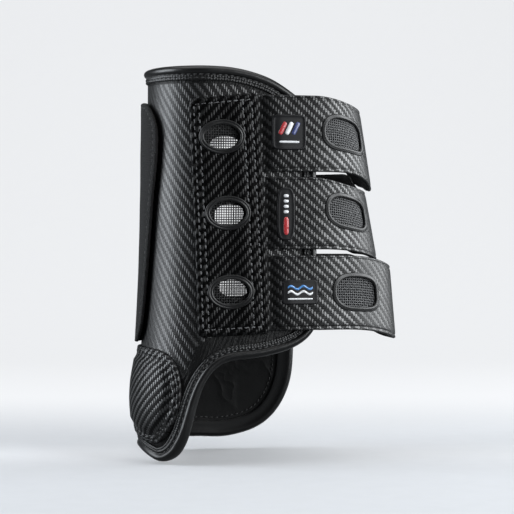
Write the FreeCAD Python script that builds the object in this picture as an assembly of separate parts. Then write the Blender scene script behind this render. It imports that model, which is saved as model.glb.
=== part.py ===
# Open-front tendon boot for a horse's lower leg: a padded C-shaped shell that
# wraps the tendons at the back, closed across the open front by three wide
# hook-and-loop straps.  Millimetres, +Z up the leg, +X out of the open front,
# -Y the outer side (strap roots, vent panel), +Y the inner side (loop panel).
# The origin is on the leg axis, at the level of the lowest point of the boot.
#
# Places on the boot are given as (s, z): s is the distance round the reference
# plan section from the back centre, negative on the outer side, and z is the
# height.  An offset is a distance out from the boot's outer face.
import FreeCAD, Part
import math
import os

V = FreeCAD.Vector
os.makedirs("parts", exist_ok=True)

# ---------------------------------------------------------------- driving sizes
HEIGHT = 270.0            # overall height
X_BACK = -59.0            # back of the reference plan section (outer face)
X_SIDE = -21.0            # where the round back meets the straight sides
HALF_WIDTH = 44.0         # half width of the reference plan section
X_FRONT = 49.5            # front edge of the sheets, without the binding
TOE_IN = 4.2              # how much each side leans in by the front edge
EDGE_IN = 3.8             # sheets stop this far inside the outline

SKIN_T = 2.0              # moulded outer skin
FOAM_T = 4.3              # closed-cell padding
PLATE_T = 1.3             # stiff impact plate in a pocket of the padding
LINING_T = 1.4            # inner lining
SHEET_GAP = 0.25          # gap left between stacked sheets
LAID_GAP = 0.3            # gap under pieces laid on the outer face
MESH_T = 0.5
MESH_SINK = 0.35          # mesh lies this far below the face round it
MESH_CLEARANCE = 0.12     # gap round the edge of a mesh
THREAD_WIDTH = 0.7

# offsets of the sheet faces
FOAM_OUTER = -(SKIN_T + SHEET_GAP)
FOAM_INNER = FOAM_OUTER - FOAM_T
LINING_OUTER = FOAM_INNER - SHEET_GAP
LINING_INNER = LINING_OUTER - LINING_T

VENT_LENGTH, VENT_HEIGHT = 12.6, 8.8     # vent opening half axes, along and up
RIM_WIDTH, RIM_T, RIM_GAP = 2.6, 1.3, 0.1
# vent centres (s, z)
OUTER_VENTS = {"top": (-71.3, 221.4), "middle": (-75.4, 169.9), "bottom": (-78.0, 116.7)}
INNER_VENTS = {"top": (88.4, 218.4), "middle": (92.4, 169.0), "bottom": (97.0, 117.9)}


# ---------------------------------------------------------------- number helpers
def pchip(points):
    """Shape-preserving cubic through (x, y) points, carried on straight past both ends."""
    xs = [p[0] for p in points]
    ys = [p[1] for p in points]
    count = len(xs)
    steps = [xs[i + 1] - xs[i] for i in range(count - 1)]
    chords = [(ys[i + 1] - ys[i]) / steps[i] for i in range(count - 1)]
    slopes = [0.0] * count
    slopes[0], slopes[-1] = chords[0], chords[-1]
    for i in range(1, count - 1):
        if chords[i - 1] * chords[i] > 0:
            before = 2 * steps[i] + steps[i - 1]
            after = steps[i] + 2 * steps[i - 1]
            slopes[i] = (before + after) / (before / chords[i - 1] + after / chords[i])

    def curve(x):
        if x <= xs[0]:
            return ys[0] + slopes[0] * (x - xs[0])
        if x >= xs[-1]:
            return ys[-1] + slopes[-1] * (x - xs[-1])
        low, high = 0, count - 1
        while high - low > 1:
            middle = (low + high) // 2
            if xs[middle] <= x:
                low = middle
            else:
                high = middle
        step = steps[low]
        t = (x - xs[low]) / step
        from_low = ys[low] * (1 + 2 * t) * (1 - t) ** 2 + slopes[low] * step * t * (1 - t) ** 2
        from_high = ys[high] * t * t * (3 - 2 * t) + slopes[high] * step * t * t * (t - 1)
        return from_low + from_high

    return curve


def eased(points, reach=14.0):
    """The cubic through the points, averaged over a window so that it has no kinks."""
    curve = pchip(points)
    averaged = []
    z = -24.0
    while z <= 288.0:
        total = weights = 0.0
        for k in range(-10, 11):
            weight = 1 - abs(k) / 11
            total += weight * curve(z + reach * k / 10)
            weights += weight
        averaged.append((z, total / weights))
        z += 3.0
    return pchip(averaged)


def smooth(start, end, x):
    """Smooth step from 0 at start to 1 at end; start may be the larger."""
    t = min(1.0, max(0.0, (x - start) / (end - start)))
    return t * t * (3 - 2 * t)


def lin(first, last, count):
    return [first + (last - first) * i / (count - 1) for i in range(count)]


def blend(pair, t):
    return pair[0] + (pair[1] - pair[0]) * t


def graded(first, last, from_end, count):
    """Values from first to last, at set distances from both ends and even between."""
    left = [first + v for v in from_end]
    right = [last - v for v in from_end][::-1]
    return left + lin(left[-1], right[0], count)[1:-1] + right


def signed_power(value, power):
    return math.copysign(abs(value) ** power, value)


def value_at(item, *place):
    """A size that is either a number or a function of the place."""
    return item(*place) if callable(item) else item


# ---------------------------------------------------------------- the leg-shaped surface
BACK_DEPTH = X_SIDE - X_BACK
SIDE_CURVE = TOE_IN / (X_FRONT - X_SIDE) ** 2


def back_arc(count=720):
    """(arc length, angle) over the quarter ellipse of the round back."""
    table = [(0.0, 0.0)]
    for i in range(1, count + 1):
        start = math.pi / 2 * (i - 1) / count
        end = math.pi / 2 * i / count
        dx = BACK_DEPTH * (math.cos(start) - math.cos(end))
        dy = HALF_WIDTH * (math.sin(end) - math.sin(start))
        table.append((table[-1][0] + math.hypot(dx, dy), end))
    return table


BACK_ARC = back_arc()
S_SIDE = BACK_ARC[-1][0]
arc_angle = pchip(BACK_ARC[::8])


def side_s(x):
    """Distance round to a place x on the inner side's straight part."""
    return S_SIDE + (x - X_SIDE)


S_FRONT = side_s(X_FRONT)

# (z, x of the back of the boot)
back_x = eased([
    (-40, -53.0), (-20, -55.5), (0, -60.0), (14, -64.0), (32, -67.0), (50, -66.5),
    (72, -63.5), (100, -61.5), (150, -59.5), (210, -58.5), (300, -57.8)])
# (z, width as a share of the reference section's)
width_share = eased([
    (-40, 1.04), (-20, 1.06), (0, 1.09), (30, 1.125), (55, 1.11), (80, 1.075),
    (110, 1.04), (150, 1.0), (210, 0.97), (300, 0.95)])


def plan(s):
    """x, y on the reference plan section."""
    distance = abs(s)
    if distance <= S_SIDE:
        angle = arc_angle(distance)
        x, y = X_SIDE - BACK_DEPTH * math.cos(angle), HALF_WIDTH * math.sin(angle)
    else:
        x = X_SIDE + (distance - S_SIDE)
        y = HALF_WIDTH - SIDE_CURVE * (x - X_SIDE) ** 2
    return x, (y if s >= 0 else -y)


def base(s, z):
    """x, y on the boot's outer face."""
    x, y = plan(s)
    back = back_x(z)
    stretch = (X_FRONT - back) / (X_FRONT - X_BACK)
    return back + (x - X_BACK) * stretch, y * width_share(z)


def point(s, z, offset=0.0):
    """Point at (s, z), moved out from the outer face by the offset."""
    x, y = base(s, z)
    step = 0.05
    ax, ay = base(s - step, z)
    bx, by = base(s + step, z)
    cx, cy = base(s, z - step)
    dx, dy = base(s, z + step)
    normal = V(bx - ax, by - ay, 0).cross(V(dx - cx, dy - cy, 2 * step))
    normal.normalize()
    if normal.x * (x + 5) + normal.y * y < 0:
        normal = normal * -1
    return V(x, y, z) + normal * offset


# ---------------------------------------------------------------- outline of the boot
# (s, z) of the outline with the rolled binding, drawn for a front edge at OUTLINE_END
OUTLINE_END = 137.4
STRETCH_FROM = 100.0
TOP_HALF = [
    (0.0, HEIGHT), (55.0, HEIGHT), (72.0, 269.6), (84.0, 268.2), (96.0, 265.4), (106.0, 261.8),
    (115.0, 256.6), (122.0, 251.6), (128.0, 246.8), (133.5, 240.5), (136.6, 233.0),
    (OUTLINE_END, 226.0)]
LOW_POINTS = [
    (-OUTLINE_END, 100.0), (-136.6, 94.0), (-133.0, 87.0), (-127.0, 81.5), (-119.0, 77.2),
    (-108.0, 73.8), (-95.0, 71.4), (-82.0, 70.2), (-75.5, 68.4), (-70.4, 64.8),
    (-66.0, 58.6), (-62.4, 50.2), (-59.4, 40.0), (-56.6, 30.0), (-53.0, 20.6),
    (-48.0, 12.4), (-42.0, 6.0), (-35.0, 1.8), (-27.0, 0.0), (-18.0, 2.0),
    (-8.0, 4.9), (0.0, 6.5), (12.0, 6.9), (26.0, 6.5), (35.0, 7.2), (44.0, 8.1),
    (58.0, 8.9), (72.0, 8.9), (84.0, 8.3), (92.0, 8.8), (99.0, 10.2), (107.0, 12.5),
    (114.0, 15.8), (120.0, 20.2), (125.5, 26.4), (130.2, 34.2), (133.6, 42.8),
    (135.9, 52.0), (137.0, 62.0), (OUTLINE_END, 74.0)]
Z_SPLIT = 165.0           # between the lower and upper edges of the sheets


def stretched(points):
    """Stretches the outermost part of a line to the real front edge."""
    extra = S_FRONT + EDGE_IN - OUTLINE_END
    out = []
    for s, z in points:
        share = max(0.0, (abs(s) - STRETCH_FROM) / (OUTLINE_END - STRETCH_FROM))
        out.append((math.copysign(abs(s) + extra * share, s), z))
    return out


TOP_LINE = stretched([(-s, z) for s, z in TOP_HALF[:0:-1]] + TOP_HALF)
LOW_LINE = stretched(LOW_POINTS)
top_line = pchip(TOP_LINE)
low_line = pchip(LOW_LINE)


def closed_outline(step=1.5):
    """The outline as a dense closed loop of (s, z), anticlockwise in the s-z plane."""

    def walk(curve, start, end):
        """Equal steps along the curve itself."""
        raw = [(s, curve(s)) for s in lin(start, end, 1601)]
        out = [raw[0]]
        travelled = 0.0
        for before, after in zip(raw, raw[1:]):
            travelled += math.hypot(after[0] - before[0], after[1] - before[1])
            if travelled >= step:
                out.append(after)
                travelled = 0.0
        if math.hypot(out[-1][0] - raw[-1][0], out[-1][1] - raw[-1][1]) > 0.3 * step:
            out.append(raw[-1])
        else:
            out[-1] = raw[-1]
        return out

    def upright(s, z_start, z_end):
        count = int(abs(z_end - z_start) / step)
        return [(s, z) for z in lin(z_start, z_end, count + 1)[1:-1]]

    low = walk(low_line, LOW_LINE[0][0], LOW_LINE[-1][0])
    top = walk(top_line, TOP_LINE[-1][0], TOP_LINE[0][0])
    loop = (low + upright(low[-1][0], low[-1][1], top[0][1])
            + top + upright(low[0][0], top[-1][1], low[0][1]))
    for _ in range(6):     # ease the four joins between the lines
        following = loop[1:] + loop[:1]
        loop = [((loop[i - 1][0] + 2 * loop[i][0] + following[i][0]) / 4,
                 (loop[i - 1][1] + 2 * loop[i][1] + following[i][1]) / 4)
                for i in range(len(loop))]
    return loop


def inset(loop, distance):
    out = []
    count = len(loop)
    for i in range(count):
        before_s, before_z = loop[(i - 3) % count]
        after_s, after_z = loop[(i + 3) % count]
        along_s, along_z = after_s - before_s, after_z - before_z
        length = math.hypot(along_s, along_z)
        out.append((loop[i][0] - along_z / length * distance,
                    loop[i][1] + along_s / length * distance))
    return out


OUTLINE = closed_outline()
EDGE_LOOP = inset(OUTLINE, EDGE_IN)


def sheet_edges():
    """Lower and upper edge curves of the sheets, and the s range they cover."""
    s_min = min(s for s, z in EDGE_LOOP)
    s_max = max(s for s, z in EDGE_LOOP)

    def edge(places):
        # keep only the part where the line has left the upright front edges
        kept = [p for p in sorted(places) if s_min + 0.35 < p[0] < s_max - 0.35]
        thinned = [kept[0]]
        for place in kept[1:]:
            if place[0] - thinned[-1][0] > 0.12:
                thinned.append(place)
        return pchip(thinned)

    low = edge([p for p in EDGE_LOOP if p[1] < Z_SPLIT])
    top = edge([p for p in EDGE_LOOP if p[1] >= Z_SPLIT])
    return low, top, s_min + 0.4, s_max - 0.4


# ---------------------------------------------------------------- solids from grids of points
def grid_solid(outer, inner):
    """Closed solid between two equal grids of points."""
    surfaces = []
    for grid in (outer, inner):
        spline = Part.BSplineSurface()
        spline.interpolate(grid)
        surfaces.append(spline)
    over, under = surfaces
    u0, u1, v0, v1 = over.bounds()
    a0, a1, b0, b1 = under.bounds()
    faces = [over.toShape(), under.toShape()]
    for over_edge, under_edge in ((over.uIso(u0), under.uIso(a0)),
                                  (over.uIso(u1), under.uIso(a1)),
                                  (over.vIso(v0), under.vIso(b0)),
                                  (over.vIso(v1), under.vIso(b1))):
        side = Part.makeRuledSurface(over_edge.toShape(), under_edge.toShape(), 1)
        faces.append(side.Faces[0])
    shell = Part.makeShell(faces)
    shell.sewShape()
    if not shell.isClosed():     # edges too far apart for the default tolerance
        sewn = Part.Shape(shell)
        sewn.sewShape(0.01)
        shell = sewn.Shells[0]
    solid = Part.makeSolid(shell)
    if solid.Volume < 0:
        solid.reverse()
    if not solid.isValid():
        solid.fix(0.001, 0.001, 0.01)
    return solid


def layer(rows, inner, outer, face=point):
    """Solid over rows of places on a face, between two offsets (numbers or functions)."""
    return grid_solid(*[[[face(s, z, value_at(offset, s, z)) for s, z in row] for row in rows]
                        for offset in (outer, inner)])


def columns(steps, low, high, count):
    """Rows of (s, z): at each s, heights from low to high (numbers or functions of s)."""
    return [[(s, z) for z in lin(value_at(low, s), value_at(high, s), count)] for s in steps]


def oval_prism(centre, axis, along, half_length, half_height, low, high, power=2.0):
    """Prism of a (super)ellipse, its half_length lying along a given direction."""
    normal = V(axis)
    normal.normalize()
    u = V(along) - normal * V(along).dot(normal)
    u.normalize()
    w = normal.cross(u)
    start = centre + normal * low
    if power == 2.0:
        curve = Part.Ellipse(start + u * half_length, start + w * half_height, start)
    else:
        points = []
        for i in range(28):
            angle = 2 * math.pi * i / 28
            points.append(start + u * (half_length * signed_power(math.cos(angle), 2 / power))
                          + w * (half_height * signed_power(math.sin(angle), 2 / power)))
        curve = Part.BSplineCurve()
        curve.interpolate(points, PeriodicFlag=True)
    return Part.Face(Part.Wire([curve.toShape()])).extrude(normal * (high - low))


def shell_prism(s, z, half_length, half_height, low, high, power=2.0):
    """Oval prism square to the boot's outer face."""
    centre = point(s, z)
    along = point(s + 0.5, z) - point(s - 0.5, z)
    return oval_prism(centre, point(s, z, 1.0) - centre, along,
                      half_length, half_height, low, high, power)


def vent_prism(place, grow, low, high):
    """Prism of a vent opening, grown all round."""
    return shell_prism(*place, VENT_LENGTH + grow, VENT_HEIGHT + grow, low, high)


def along_path(path):
    """Each place of a path with its unit direction."""
    out = []
    for i, (s, z) in enumerate(path):
        before = path[max(0, i - 1)]
        after = path[min(len(path) - 1, i + 1)]
        along_s, along_z = after[0] - before[0], after[1] - before[1]
        length = math.hypot(along_s, along_z)
        out.append((s, z, along_s / length, along_z / length))
    return out


def thread(path, inner, outer):
    """Line of stitching lying along a path of (s, z)."""
    rows = [[(s - along_z * THREAD_WIDTH / 2 * k, z + along_s * THREAD_WIDTH / 2 * k)
             for k in (-1, 0, 1)]
            for s, z, along_s, along_z in along_path(path)]
    return layer(rows, inner, outer)


def resample(path, count):
    """The path as equally spaced places."""
    travelled = [0.0]
    for before, after in zip(path, path[1:]):
        travelled.append(travelled[-1] + math.hypot(after[0] - before[0], after[1] - before[1]))
    out = []
    j = 0
    for distance in lin(0.0, travelled[-1], count):
        while j < len(travelled) - 2 and travelled[j + 1] < distance:
            j += 1
        t = (distance - travelled[j]) / (travelled[j + 1] - travelled[j])
        out.append((blend((path[j][0], path[j + 1][0]), t),
                    blend((path[j][1], path[j + 1][1]), t)))
    return out


def export(name, shape):
    solids = shape.Solids
    shape = solids[0] if len(solids) == 1 else Part.makeCompound(solids)
    shape.exportStep("parts/%s.step" % name)


# ---------------------------------------------------------------- the stacked sheets of the shell
SHEET_ENDS = [0.0, 0.5, 1.4, 3.0, 5.5, 9.0, 13.0, 18.0, 24.0]   # columns in from each front edge
PLATE_S = 52.0            # half width of the impact plate, measured round
PLATE_Z = (92.0, 240.0)
PLATE_ARCH = 4.0          # rise of the plate's lower edge at the back centre
POCKET_CLEARANCE = 0.6


def plate_layer(clearance, inner, outer):
    def low(s):
        return PLATE_Z[0] - clearance + PLATE_ARCH * math.cos(s / PLATE_S * math.pi / 2)

    steps = lin(-PLATE_S - clearance, PLATE_S + clearance, 24)
    return layer(columns(steps, low, PLATE_Z[1] + clearance, 8), inner, outer)


def build_sheets():
    low, top, s_min, s_max = sheet_edges()
    rows = columns(graded(s_min, s_max, SHEET_ENDS, 44), low, top, 26)
    skin = layer(rows, -SKIN_T, 0.0)
    foam = layer(rows, FOAM_INNER, FOAM_OUTER)
    lining = layer(rows, LINING_INNER, LINING_OUTER)
    foam = foam.cut(plate_layer(POCKET_CLEARANCE, FOAM_OUTER - PLATE_T - 0.3, FOAM_OUTER + 0.5))
    for vents in (OUTER_VENTS, INNER_VENTS):
        for place in vents.values():
            tool = vent_prism(place, 0, -14, 6)
            skin, foam, lining = skin.cut(tool), foam.cut(tool), lining.cut(tool)
    export("outer_shell", skin)
    export("foam_padding", foam)
    export("inner_lining", lining)
    export("impact_plate", plate_layer(0.0, FOAM_OUTER - PLATE_T, FOAM_OUTER - 0.05))


build_sheets()

# ---------------------------------------------------------------- binding: two lengths of rolled tape
BIND_T = 0.95             # tape thickness
BIND_FLAT = 6.2           # how far the tape lies over the sheets
BIND_NOSE = 3.6           # how far the roll stands past the sheet edge
BIND_GAP = 0.45           # gap between tape and sheets
ROLL_START = -2.0         # centre of the roll, from the sheet edge
ROLL_INSIDE = 3.1         # reach of the roll's inner face from that centre
BIND_TOP = BIND_T + BIND_GAP
Z_JOIN = 168.0            # where the two lengths meet on the front edges
SEAM_INSETS = (EDGE_IN + 2.2, EDGE_IN + 5.0)


def binding_profiles():
    """Outer and inner faces of the folded tape, as (distance past the sheet edge, offset)."""
    bottom = LINING_INNER - BIND_TOP
    middle = (BIND_TOP + bottom) / 2
    half = (BIND_TOP - bottom) / 2
    leg = (1.0, 0.8, 0.6, 0.4, 0.27)
    outer = [(-BIND_FLAT * k, BIND_TOP) for k in leg]
    inner = [(-BIND_FLAT * k, BIND_GAP) for k in leg]
    for degrees in (67.5, 45, 22.5, 0, -22.5, -45, -67.5):
        c, n = math.cos(math.radians(degrees)), math.sin(math.radians(degrees))
        outer.append((ROLL_START + (BIND_NOSE - ROLL_START) * c, middle + half * n))
        inner.append((ROLL_START + ROLL_INSIDE * signed_power(c, 0.5),
                      middle + (half - BIND_T) * signed_power(n, 0.62)))
    outer += [(-BIND_FLAT * k, bottom) for k in reversed(leg)]
    inner += [(-BIND_FLAT * k, LINING_INNER - BIND_GAP) for k in reversed(leg)]
    return outer, inner


def binding(path, count):
    """Folded tape along a path of (s, z) that has the outside on its right."""
    places = along_path(resample(path, count))
    return grid_solid(*[[[point(s + along_z * out, z - along_s * out, offset)
                          for out, offset in profile]
                         for s, z, along_s, along_z in places]
                        for profile in binding_profiles()])


def part_of_loop(loop, z_cut, above):
    """The part of the loop above or below a height, from front edge to front edge."""
    count = len(loop)
    inside = [(z > z_cut) if above else (z < z_cut) for s, z in loop]
    i = next(i for i in range(count) if inside[i] and not inside[i - 1])
    out = []
    while inside[i % count]:
        out.append(loop[i % count])
        i += 1
    return out


def binding_seams():
    seams = []
    for distance in SEAM_INSETS:
        loop = inset(OUTLINE, distance)
        for z_cut, above, count in ((Z_JOIN + 0.8, True, 130), (Z_JOIN - 0.8, False, 230)):
            path = resample(part_of_loop(loop, z_cut, above), count)
            seams.append(thread(path, BIND_TOP + 0.24, BIND_TOP + 0.56))
    return Part.makeCompound(seams)


export("top_edge_binding", binding(part_of_loop(EDGE_LOOP, Z_JOIN + 0.4, True), 80))
export("bottom_edge_binding", binding(part_of_loop(EDGE_LOOP, Z_JOIN - 0.4, False), 130))
export("binding_stitching", binding_seams())


# ---------------------------------------------------------------- vent rims and meshes
def vent_ring(place):
    return vent_prism(place, RIM_WIDTH, -3, 12).cut(vent_prism(place, 0, -4, 13))


def vent_mesh(place):
    s, z = place
    rows = columns(lin(s - 15, s + 15, 7), z - 11, z + 11, 6)
    return layer(rows, -MESH_SINK - MESH_T, -MESH_SINK).common(
        vent_prism(place, -MESH_CLEARANCE, -4, 4))


# ---------------------------------------------------------------- vent panel on the outer side
PANEL_T = 1.9
PANEL_LOW = (86.2, 88.3)        # z of the lower edge at the rear and front
PANEL_TOP = (246.8, 251.5)      # z of the upper edge at the rear and front
PANEL_HEIGHT = 162.0            # about its height at mid width, used to place the rims
# (z, s) of the rear and front edges
panel_rear = pchip([
    (80, -57.4), (86.6, -57.1), (145, -54.0), (192, -51.5), (246, -48.9), (256, -48.4)])
panel_front = pchip([
    (80, -105.3), (88, -104.9), (138, -102.4), (192, -99.5), (251, -95.9), (258, -95.5)])
# (t across the panel, k at the low end, k at the high end)
PANEL_SEAMS = ((0.055, 0.02, 0.975), (0.135, 0.03, 0.965), (0.76, 0.03, 0.965),
               (0.885, 0.02, 0.975))


def panel_place(t, k):
    """t from the rear edge (0) to the front edge (1), k from the bottom (0) to the top (1)."""
    z = blend((blend(PANEL_LOW, t), blend(PANEL_TOP, t)), k)
    return blend((panel_rear(z), panel_front(z)), t), z


def above_panel(height):
    """Offset of a height over the panel's inner face: flat rear, front over the strap roots."""
    def offset(s, z):
        t = (s - panel_rear(z)) / (panel_front(z) - panel_rear(z))
        return LAID_GAP + 1.75 * smooth(0.42, 0.72, t) + height
    return offset


def panel_layer(low, high, ts, ks):
    rows = [[panel_place(t, k) for k in ks] for t in ts]
    return layer(rows, above_panel(low), above_panel(high))


def vent_panel():
    panel = panel_layer(0.0, PANEL_T, lin(0, 1, 26), lin(0, 1, 30))
    for place in OUTER_VENTS.values():
        panel = panel.cut(vent_prism(place, 0, -3, 12))
    return panel


def outer_rim(place):
    k = (place[1] - PANEL_LOW[0]) / PANEL_HEIGHT
    low = PANEL_T + RIM_GAP
    patch = panel_layer(low, low + RIM_T, lin(0.02, 0.98, 12), lin(k - 0.11, k + 0.11, 9))
    return patch.common(vent_ring(place))


def panel_stitching():
    seams = []
    for t, k_low, k_high in PANEL_SEAMS:
        rows = [[panel_place(t + dt, k) for dt in (-0.008, 0.0, 0.008)]
                for k in lin(k_low, k_high, 30)]
        seam = layer(rows, above_panel(PANEL_T + 0.12), above_panel(PANEL_T + 0.48))
        for place in OUTER_VENTS.values():
            seam = seam.cut(vent_prism(place, RIM_WIDTH + 0.4, -3, 14))
        seams.append(seam)
    return Part.makeCompound(seams)


export("vent_panel", vent_panel())
for name, place in OUTER_VENTS.items():
    export("outer_vent_rim_" + name, outer_rim(place))
    export("outer_vent_mesh_" + name, vent_mesh(place))
export("vent_panel_stitching", panel_stitching())

# ---------------------------------------------------------------- loop landing panel on the inner side
LOOP_T = 2.2
LOOP_Z = (80.6, 246.0)
LOOP_TOP_IN = 15.0        # least drop below the boot's top line
S_LOOP_REAR = -16.0       # start of the s range over which the top edge is read
S_LOOP_FRONT = side_s(38.2)
# (z, s) of the rear edge
loop_rear = pchip([
    (80.6, -3.0), (84, -7.0), (90, -10.2), (100, -12.2), (120, -14.4), (152, -17.8),
    (185, -21.4), (206, -24.6), (222, -25.4), (234, -22.6), (242, -15.5), (247, -8.5)])


def loop_top(s):
    """Top edge: level, then falling with the boot's outline, as a soft minimum of the two."""
    softness = 2.5
    shift = 200     # keeps the exponentials in range
    total = sum(math.exp(-(z - shift) / softness)
                for z in (LOOP_Z[1], top_line(s) - LOOP_TOP_IN))
    return -softness * math.log(total) + shift


def above_loop(height):
    """Offset of a height over the loop panel's inner face, which is raised at the rear."""
    return lambda s, z: LAID_GAP + 2.6 * smooth(34.0, -2.0, s) + height


def loop_panel():
    rows = []
    for t in lin(0, 1, 44):
        heights = lin(LOOP_Z[0], loop_top(blend((S_LOOP_REAR, S_LOOP_FRONT), t)), 22)
        rows.append([(blend((loop_rear(z), S_LOOP_FRONT), t), z) for z in heights])
    panel = layer(rows, above_loop(0.0), above_loop(LOOP_T))
    for place in INNER_VENTS.values():
        panel = panel.cut(vent_prism(place, 0, -3, 12))
    return panel


def inner_rim(place):
    s, z = place
    low = LAID_GAP + LOOP_T + RIM_GAP
    rows = columns(lin(s - 18, s + 18, 8), z - 14, z + 14, 7)
    return layer(rows, low, low + RIM_T).common(vent_ring(place))


export("loop_panel", loop_panel())
for name, place in INNER_VENTS.items():
    export("inner_vent_rim_" + name, inner_rim(place))
    export("inner_vent_mesh_" + name, vent_mesh(place))

# ---------------------------------------------------------------- strike pad over the fetlock lobe
PAD_S = (-49.4, 51.0)
PAD_OUTER = 2.5           # offset of the pad's outer face
PAD_MID_Z = 45.0
PAD_HALF_HEIGHT = 31.0    # scales the seams in from the pad's top edge
PAD_ENDS = [0.0, 0.3, 0.9, 2.0, 3.8, 6.5, 10.0, 15.0]     # columns in from each end
# (s, z) of the upper and lower edges
pad_top = pchip([
    (-49.4, 49.0), (-48.8, 54.0), (-45.8, 64.0), (-40.8, 71.5), (-33.6, 76.0),
    (-22.0, 78.0), (0.0, 78.6), (22.0, 78.0), (34.0, 76.0), (41.5, 71.5), (47.0, 64.0),
    (50.4, 54.0), (51.0, 49.0)])
pad_low = pchip([
    (-49.4, 45.0), (-48.6, 40.0), (-46.0, 31.8), (-41.2, 23.4), (-34.6, 16.6),
    (-27.0, 13.4), (-18.0, 13.9), (-8.0, 16.6), (0.0, 18.2), (12.0, 18.6), (26.0, 18.2),
    (35.0, 19.4), (42.0, 22.4), (47.5, 29.2), (50.4, 36.5), (51.0, 41.0)])


def pad_stitching():
    seams = []
    for distance in (2.0, 5.2):
        across = 1 - distance / PAD_S[1]
        up = 1 - distance / PAD_HALF_HEIGHT
        path = [(s * across, PAD_MID_Z + (pad_top(s) - PAD_MID_Z) * up)
                for s in lin(-47.0, 48.5, 40)]
        seams.append(thread(path, PAD_OUTER + 0.16, PAD_OUTER + 0.5))
    return Part.makeCompound(seams)


pad_rows = columns(graded(*PAD_S, PAD_ENDS, 24), pad_low, pad_top, 14)
export("fetlock_strike_pad", layer(pad_rows, LAID_GAP, PAD_OUTER))
export("strike_pad_stitching", pad_stitching())

# ---------------------------------------------------------------- strap sizes
STRAP_SKIN_T = 1.5
STRAP_LINING_T = 1.6
STRAP_GAP = 0.15          # between the strap's layers, and at the ends of its pieces
STRAP_T = STRAP_SKIN_T + STRAP_LINING_T + STRAP_GAP
STRAP_SKIN_INNER = STRAP_LINING_T + STRAP_GAP
HOOK_T = 1.25
ROOT_THIN_T = 1.5         # strap root under the vent panel
S_CREASE = side_s(51.5)   # where the straps leave each side, just past the front edges
OUTER_OFFSET = 2.1        # strap's inner face off the outer side, over the binding
INNER_OFFSET = 4.15       # strap's inner face off the inner side, over loop and hook
FRONT_POWER = 2.1         # roundness of the straps' bend round the front
STRAP_TOE = 0.16          # how fast the strap narrows towards the front
CROSSOVER = (0.42, 0.72)  # q over which the strap's shape passes from outer to inner side
FADE_HIGH = (0.80, 0.99)  # fade, as in STRAPS, at the high edge of every strap
WINDOW_LENGTH, WINDOW_HEIGHT = 17.2, 10.6     # window half axes
WINDOW_POWER = 3.2
FRAME_WIDTH = 2.2

# Pairs are for the low and the high edge, except fade, window and z.
#   z        low and high edge at the root
#   reach    x at the front
#   drop     how far the strap sags at the front
#   late     how late the drop comes on the outer side
#   climb    rise on the way to the inner side
#   fade     low edge: bend values where the drop has ended and where it still holds,
#            past the front
#   root_end s where the root ends, under the vent panel
#   window   place along and up the free strap, as (q, v)
STRAPS = {
    "top": dict(z=(198.0, 250.0), reach=(97.0, 88.0), drop=(12.0, 9.0), late=(4.5, 1.6),
                climb=3.6, fade=(0.76, 0.98), root_end=-84.5, window=(0.165, 0.535)),
    "middle": dict(z=(145.2, 194.5), reach=(101.0, 92.0), drop=(8.4, 10.0), late=(2.6, 1.2),
                   climb=4.2, fade=(0.60, 0.84), root_end=-88.0, window=(0.168, 0.572)),
    "bottom": dict(z=(90.3, 141.2), reach=(115.0, 110.5), drop=(9.0, 8.4), late=(3.5, 4.0),
                   climb=0.0, fade=(0.76, 0.98), root_end=-92.0, window=(0.150, 0.508)),
}


# ---------------------------------------------------------------- sewn-down strap roots
def root_inner(s, z):
    edge = panel_front(z)
    return LAID_GAP + (OUTER_OFFSET - LAID_GAP) * smooth(edge - 1.5, edge - 14.5, s)


def root_outer(s, z):
    edge = panel_front(z)
    thickening = (STRAP_T - ROOT_THIN_T) * smooth(edge - 1.0, edge - 7.0, s)
    return root_inner(s, z) + ROOT_THIN_T + thickening


def strap_root(strap):
    steps = lin(-S_CREASE + STRAP_GAP, strap["root_end"], 40)
    return layer(columns(steps, *strap["z"], 10), root_inner, root_outer)


# ---------------------------------------------------------------- free straps round the open front
def band_base(strap, q, v):
    """Inner face of the free strap: q from the outer side (0) to the inner (1), v up it."""
    z = blend(strap["z"], v)
    angle = math.pi * (q - 0.5)
    sine = math.sin(angle)
    if sine < 0:
        side, root = -1, point(-S_CREASE, z, OUTER_OFFSET)
    else:
        side, root = 1, point(S_CREASE, z + strap["climb"], INNER_OFFSET)
    bend = max(0.0, math.cos(angle)) ** (2 / FRONT_POWER)    # 0 at the roots, 1 at the front
    x = root.x + (blend(strap["reach"], v) - root.x) * bend
    half_width = abs(root.y) - STRAP_TOE * (x - root.x)
    y = half_width * abs(sine) ** (2 / FRONT_POWER) * side
    over = smooth(*CROSSOVER, q)
    ended = blend((strap["fade"][0], FADE_HIGH[0]), v)
    holds = blend((strap["fade"][1], FADE_HIGH[1]), v)
    sag = bend ** blend(strap["late"], v) * (1 - over) + smooth(ended, holds, bend) * over
    return V(x, y, z + strap["climb"] * over - blend(strap["drop"], v) * sag)


def band_face(strap):
    """The strap's face as a function of q, v and the offset out from its inner face."""
    def face(q, v, offset=0.0):
        place = band_base(strap, q, v)
        step = 0.004
        along = (band_base(strap, min(1.0, q + step), v)
                 - band_base(strap, max(0.0, q - step), v))
        up = band_base(strap, q, v + 0.01) - band_base(strap, q, v - 0.01)
        normal = along.cross(up)
        normal.normalize()
        if normal.x * (place.x - 30) + normal.y * place.y < 0:
            normal = normal * -1
        return place + normal * offset
    return face


def band_end(strap, side):
    """The q at which the strap is a gap's width forward of its root, at mid height."""
    def q_from(distance):
        return distance if side < 0 else 1 - distance

    root_x = band_base(strap, q_from(0.0), 0.5).x
    low, high = 0.0, 0.5
    for _ in range(50):
        middle = (low + high) / 2
        if band_base(strap, q_from(middle), 0.5).x - root_x < STRAP_GAP:
            low = middle
        else:
            high = middle
    return q_from(low)


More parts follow.
